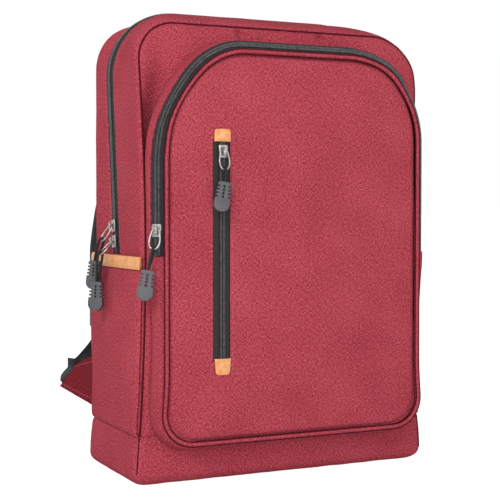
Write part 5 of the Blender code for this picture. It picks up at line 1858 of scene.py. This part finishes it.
def ribbon(points, width, thick, sides):
    """Sections of a flat strap along a line, with the direction of its width at each point."""
    rings = []
    for i, p in enumerate(points):
        ahead = (points[min(i + 1, len(points) - 1)] - points[max(i - 1, 0)]).normalized()
        across = (sides[i] - ahead * sides[i].dot(ahead)).normalized()
        out = across.cross(ahead).normalized()
        half = width / 2
        deep = thick / 2
        section = []
        for a in (-1, -0.95, -0.5, 0, 0.5, 0.95, 1):
            section.append((a * half, -deep * (1 if abs(a) < 0.99 else 0.4)))
        section += [(-a, -b) for a, b in section]
        rings.append([p + across * a + out * b for a, b in section])
    return rings


def strap_piece(name, rings, material):
    """Strap, wing or handle through its sections."""
    return new_piece(name, solid_mesh(name, rings), material)


lock_low, lock_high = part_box("ladder_lock_left")
for side, sign in (("left", -1), ("right", 1)):
    lock = rounded_copy("strap_lock_" + side, "ladder_lock_" + side, 0.0008, acetal)
    lock.data.transform(Matrix.Translation((sign * STRAP_SPREAD, 0, 0)))
    place(lock, "bag", "black_plastic", "ladder_lock_" + side)

    tip = Vector((sign * (SIDE_X + WING_TIP_OUT), REAR_Y + WING_REACH, BASE_HEIGHT + WING_TIP_RISE))
    tip_edge = Vector((sign * WING_TIP_EDGE.x, WING_TIP_EDGE.y, WING_TIP_EDGE.z))
    tip_low = tip + tip_edge * WING_TIP_HALF
    tip_high = tip - tip_edge * WING_TIP_HALF
    seam_turn = math.radians(WING_SEAM_TURN)
    root_x, root_y = rear_turn(sign, seam_turn, REAR_ROUND + 0.0003 + WING)
    root_low = Vector((root_x, root_y, BASE_HEIGHT + WING_ROOT_LOW))
    root_high = Vector((root_x, root_y, BASE_HEIGHT + WING_ROOT_HIGH))
    facing = (tip_low - root_low).cross(root_high - root_low).normalized()
    rings = []
    for i in range(19):
        share = i / 18
        low = root_low.lerp(tip_low, share)
        high = root_high.lerp(tip_high, share)
        ring = []
        for k in range(24):
            angle = 2 * math.pi * k / 24
            a = signed_power(math.cos(angle), 0.35)
            b = signed_power(math.sin(angle), 0.6)
            thickness = WING / 2 * (0.75 + 0.25 * math.sin(math.pi * share))
            ring.append(low.lerp(high, 0.5 + a * 0.5) + facing * thickness * b)
        rings.append(ring)
    # The wing's darker reds are painted shade.
    wing = strap_piece("wing_" + side, rings, wing_shaded_cloth)
    place(wing, "bag", "red_melange_cloth", "strap_wing_" + side)
    for label, inset in (("edge", 0.88), ("low", 0.12)):
        line = []
        for i in range(13):
            line.append(root_low.lerp(tip_low, i / 12).lerp(root_high.lerp(tip_high, i / 12), inset))
        for face, way in (("outer", 1), ("inner", -1)):
            raised = [p + facing * way * 0.004 for p in line]
            stitch_row("wing_" + side + "_" + label + "_" + face, wing, raised, "bag")

    end = Vector((sign * (STRAP_END_X + STRAP_SPREAD), REAR_Y + STRAP_BOW, lock_high.z))
    away = tip - (root_low + root_high) / 2
    away = (away - tip_edge * away.dot(tip_edge)).normalized()
    start = tip + away * 0.0006
    lift = LOCK_THICK / 2 + WEBBING / 2 + 0.0003
    below = Vector((end.x, end.y - lift, lock_low.z - WEBBING))
    rising = bezier(start, start + away * WEBBING_WIDTH, below - UP * WEBBING_WIDTH, below, 16)
    line = list(rising)
    bar_top = lock_high.z - LOCK_BAR - LOCK_SLOT
    for i in range(13):
        angle = math.radians(180 - 15 * i)
        turn = Vector((0, lift * math.cos(angle), (WEBBING + LOCK_SLOT) / 3 * math.sin(angle)))
        line.append(Vector((end.x, end.y, bar_top)) + turn)
    tail = Vector((end.x, end.y + lift + WEBBING, lock_low.z))
    line += [tail] + [tail + (OUT * WEBBING - UP * WEBBING_TAIL) * i / 8 for i in range(1, 9)]
    ways = [(tip_edge * sign).lerp(RIGHT, i / 16) for i in range(17)]
    ways += [RIGHT] * (len(line) - len(ways))
    webbing = strap_piece("webbing_" + side, ribbon(line, WEBBING_WIDTH, WEBBING, ways), webbing_cloth)
    place(webbing, "bag", "black_webbing", "strap_webbing_" + side)


# Haul handle: a loop of webbing folded double and sewn into the top of the back, hanging behind it.
HANDLE_FOLD = 0.008
HANDLE_THICK = 0.004
HANDLE_SPAN = 0.100
HANDLE_REACH = 0.046
HANDLE_BELOW_TOP = 0.010
HANDLE_HANG = math.radians(38)
handle_axis = Vector((0, REAR_Y + 0.0006 + HANDLE_FOLD / 2, back_high.z - HANDLE_BELOW_TOP))
hang_out = Vector((0, math.cos(HANDLE_HANG), -math.sin(HANDLE_HANG)))
fold_way = hang_out.cross(RIGHT)
line = []
for i in range(49):
    angle = math.pi * i / 48
    reach = HANDLE_REACH * math.sin(angle) ** 0.7
    line.append(handle_axis + RIGHT * (-HANDLE_SPAN / 2 * math.cos(angle)) + hang_out * reach)
rings = []
for i, p in enumerate(line):
    ahead = (line[min(i + 1, 48)] - line[max(i - 1, 0)]).normalized()
    side_way = ahead.cross(fold_way).normalized()
    ring = []
    for k in range(16):
        angle = 2 * math.pi * k / 16
        a = signed_power(math.cos(angle), 0.6) * HANDLE_FOLD / 2
        b = signed_power(math.sin(angle), 0.6) * HANDLE_THICK / 2
        ring.append(p + fold_way * a + side_way * b)
    rings.append(ring)
handle = strap_piece("haul_loop", rings, webbing_cloth)
place(handle, "handle", "black_webbing", "haul_handle")
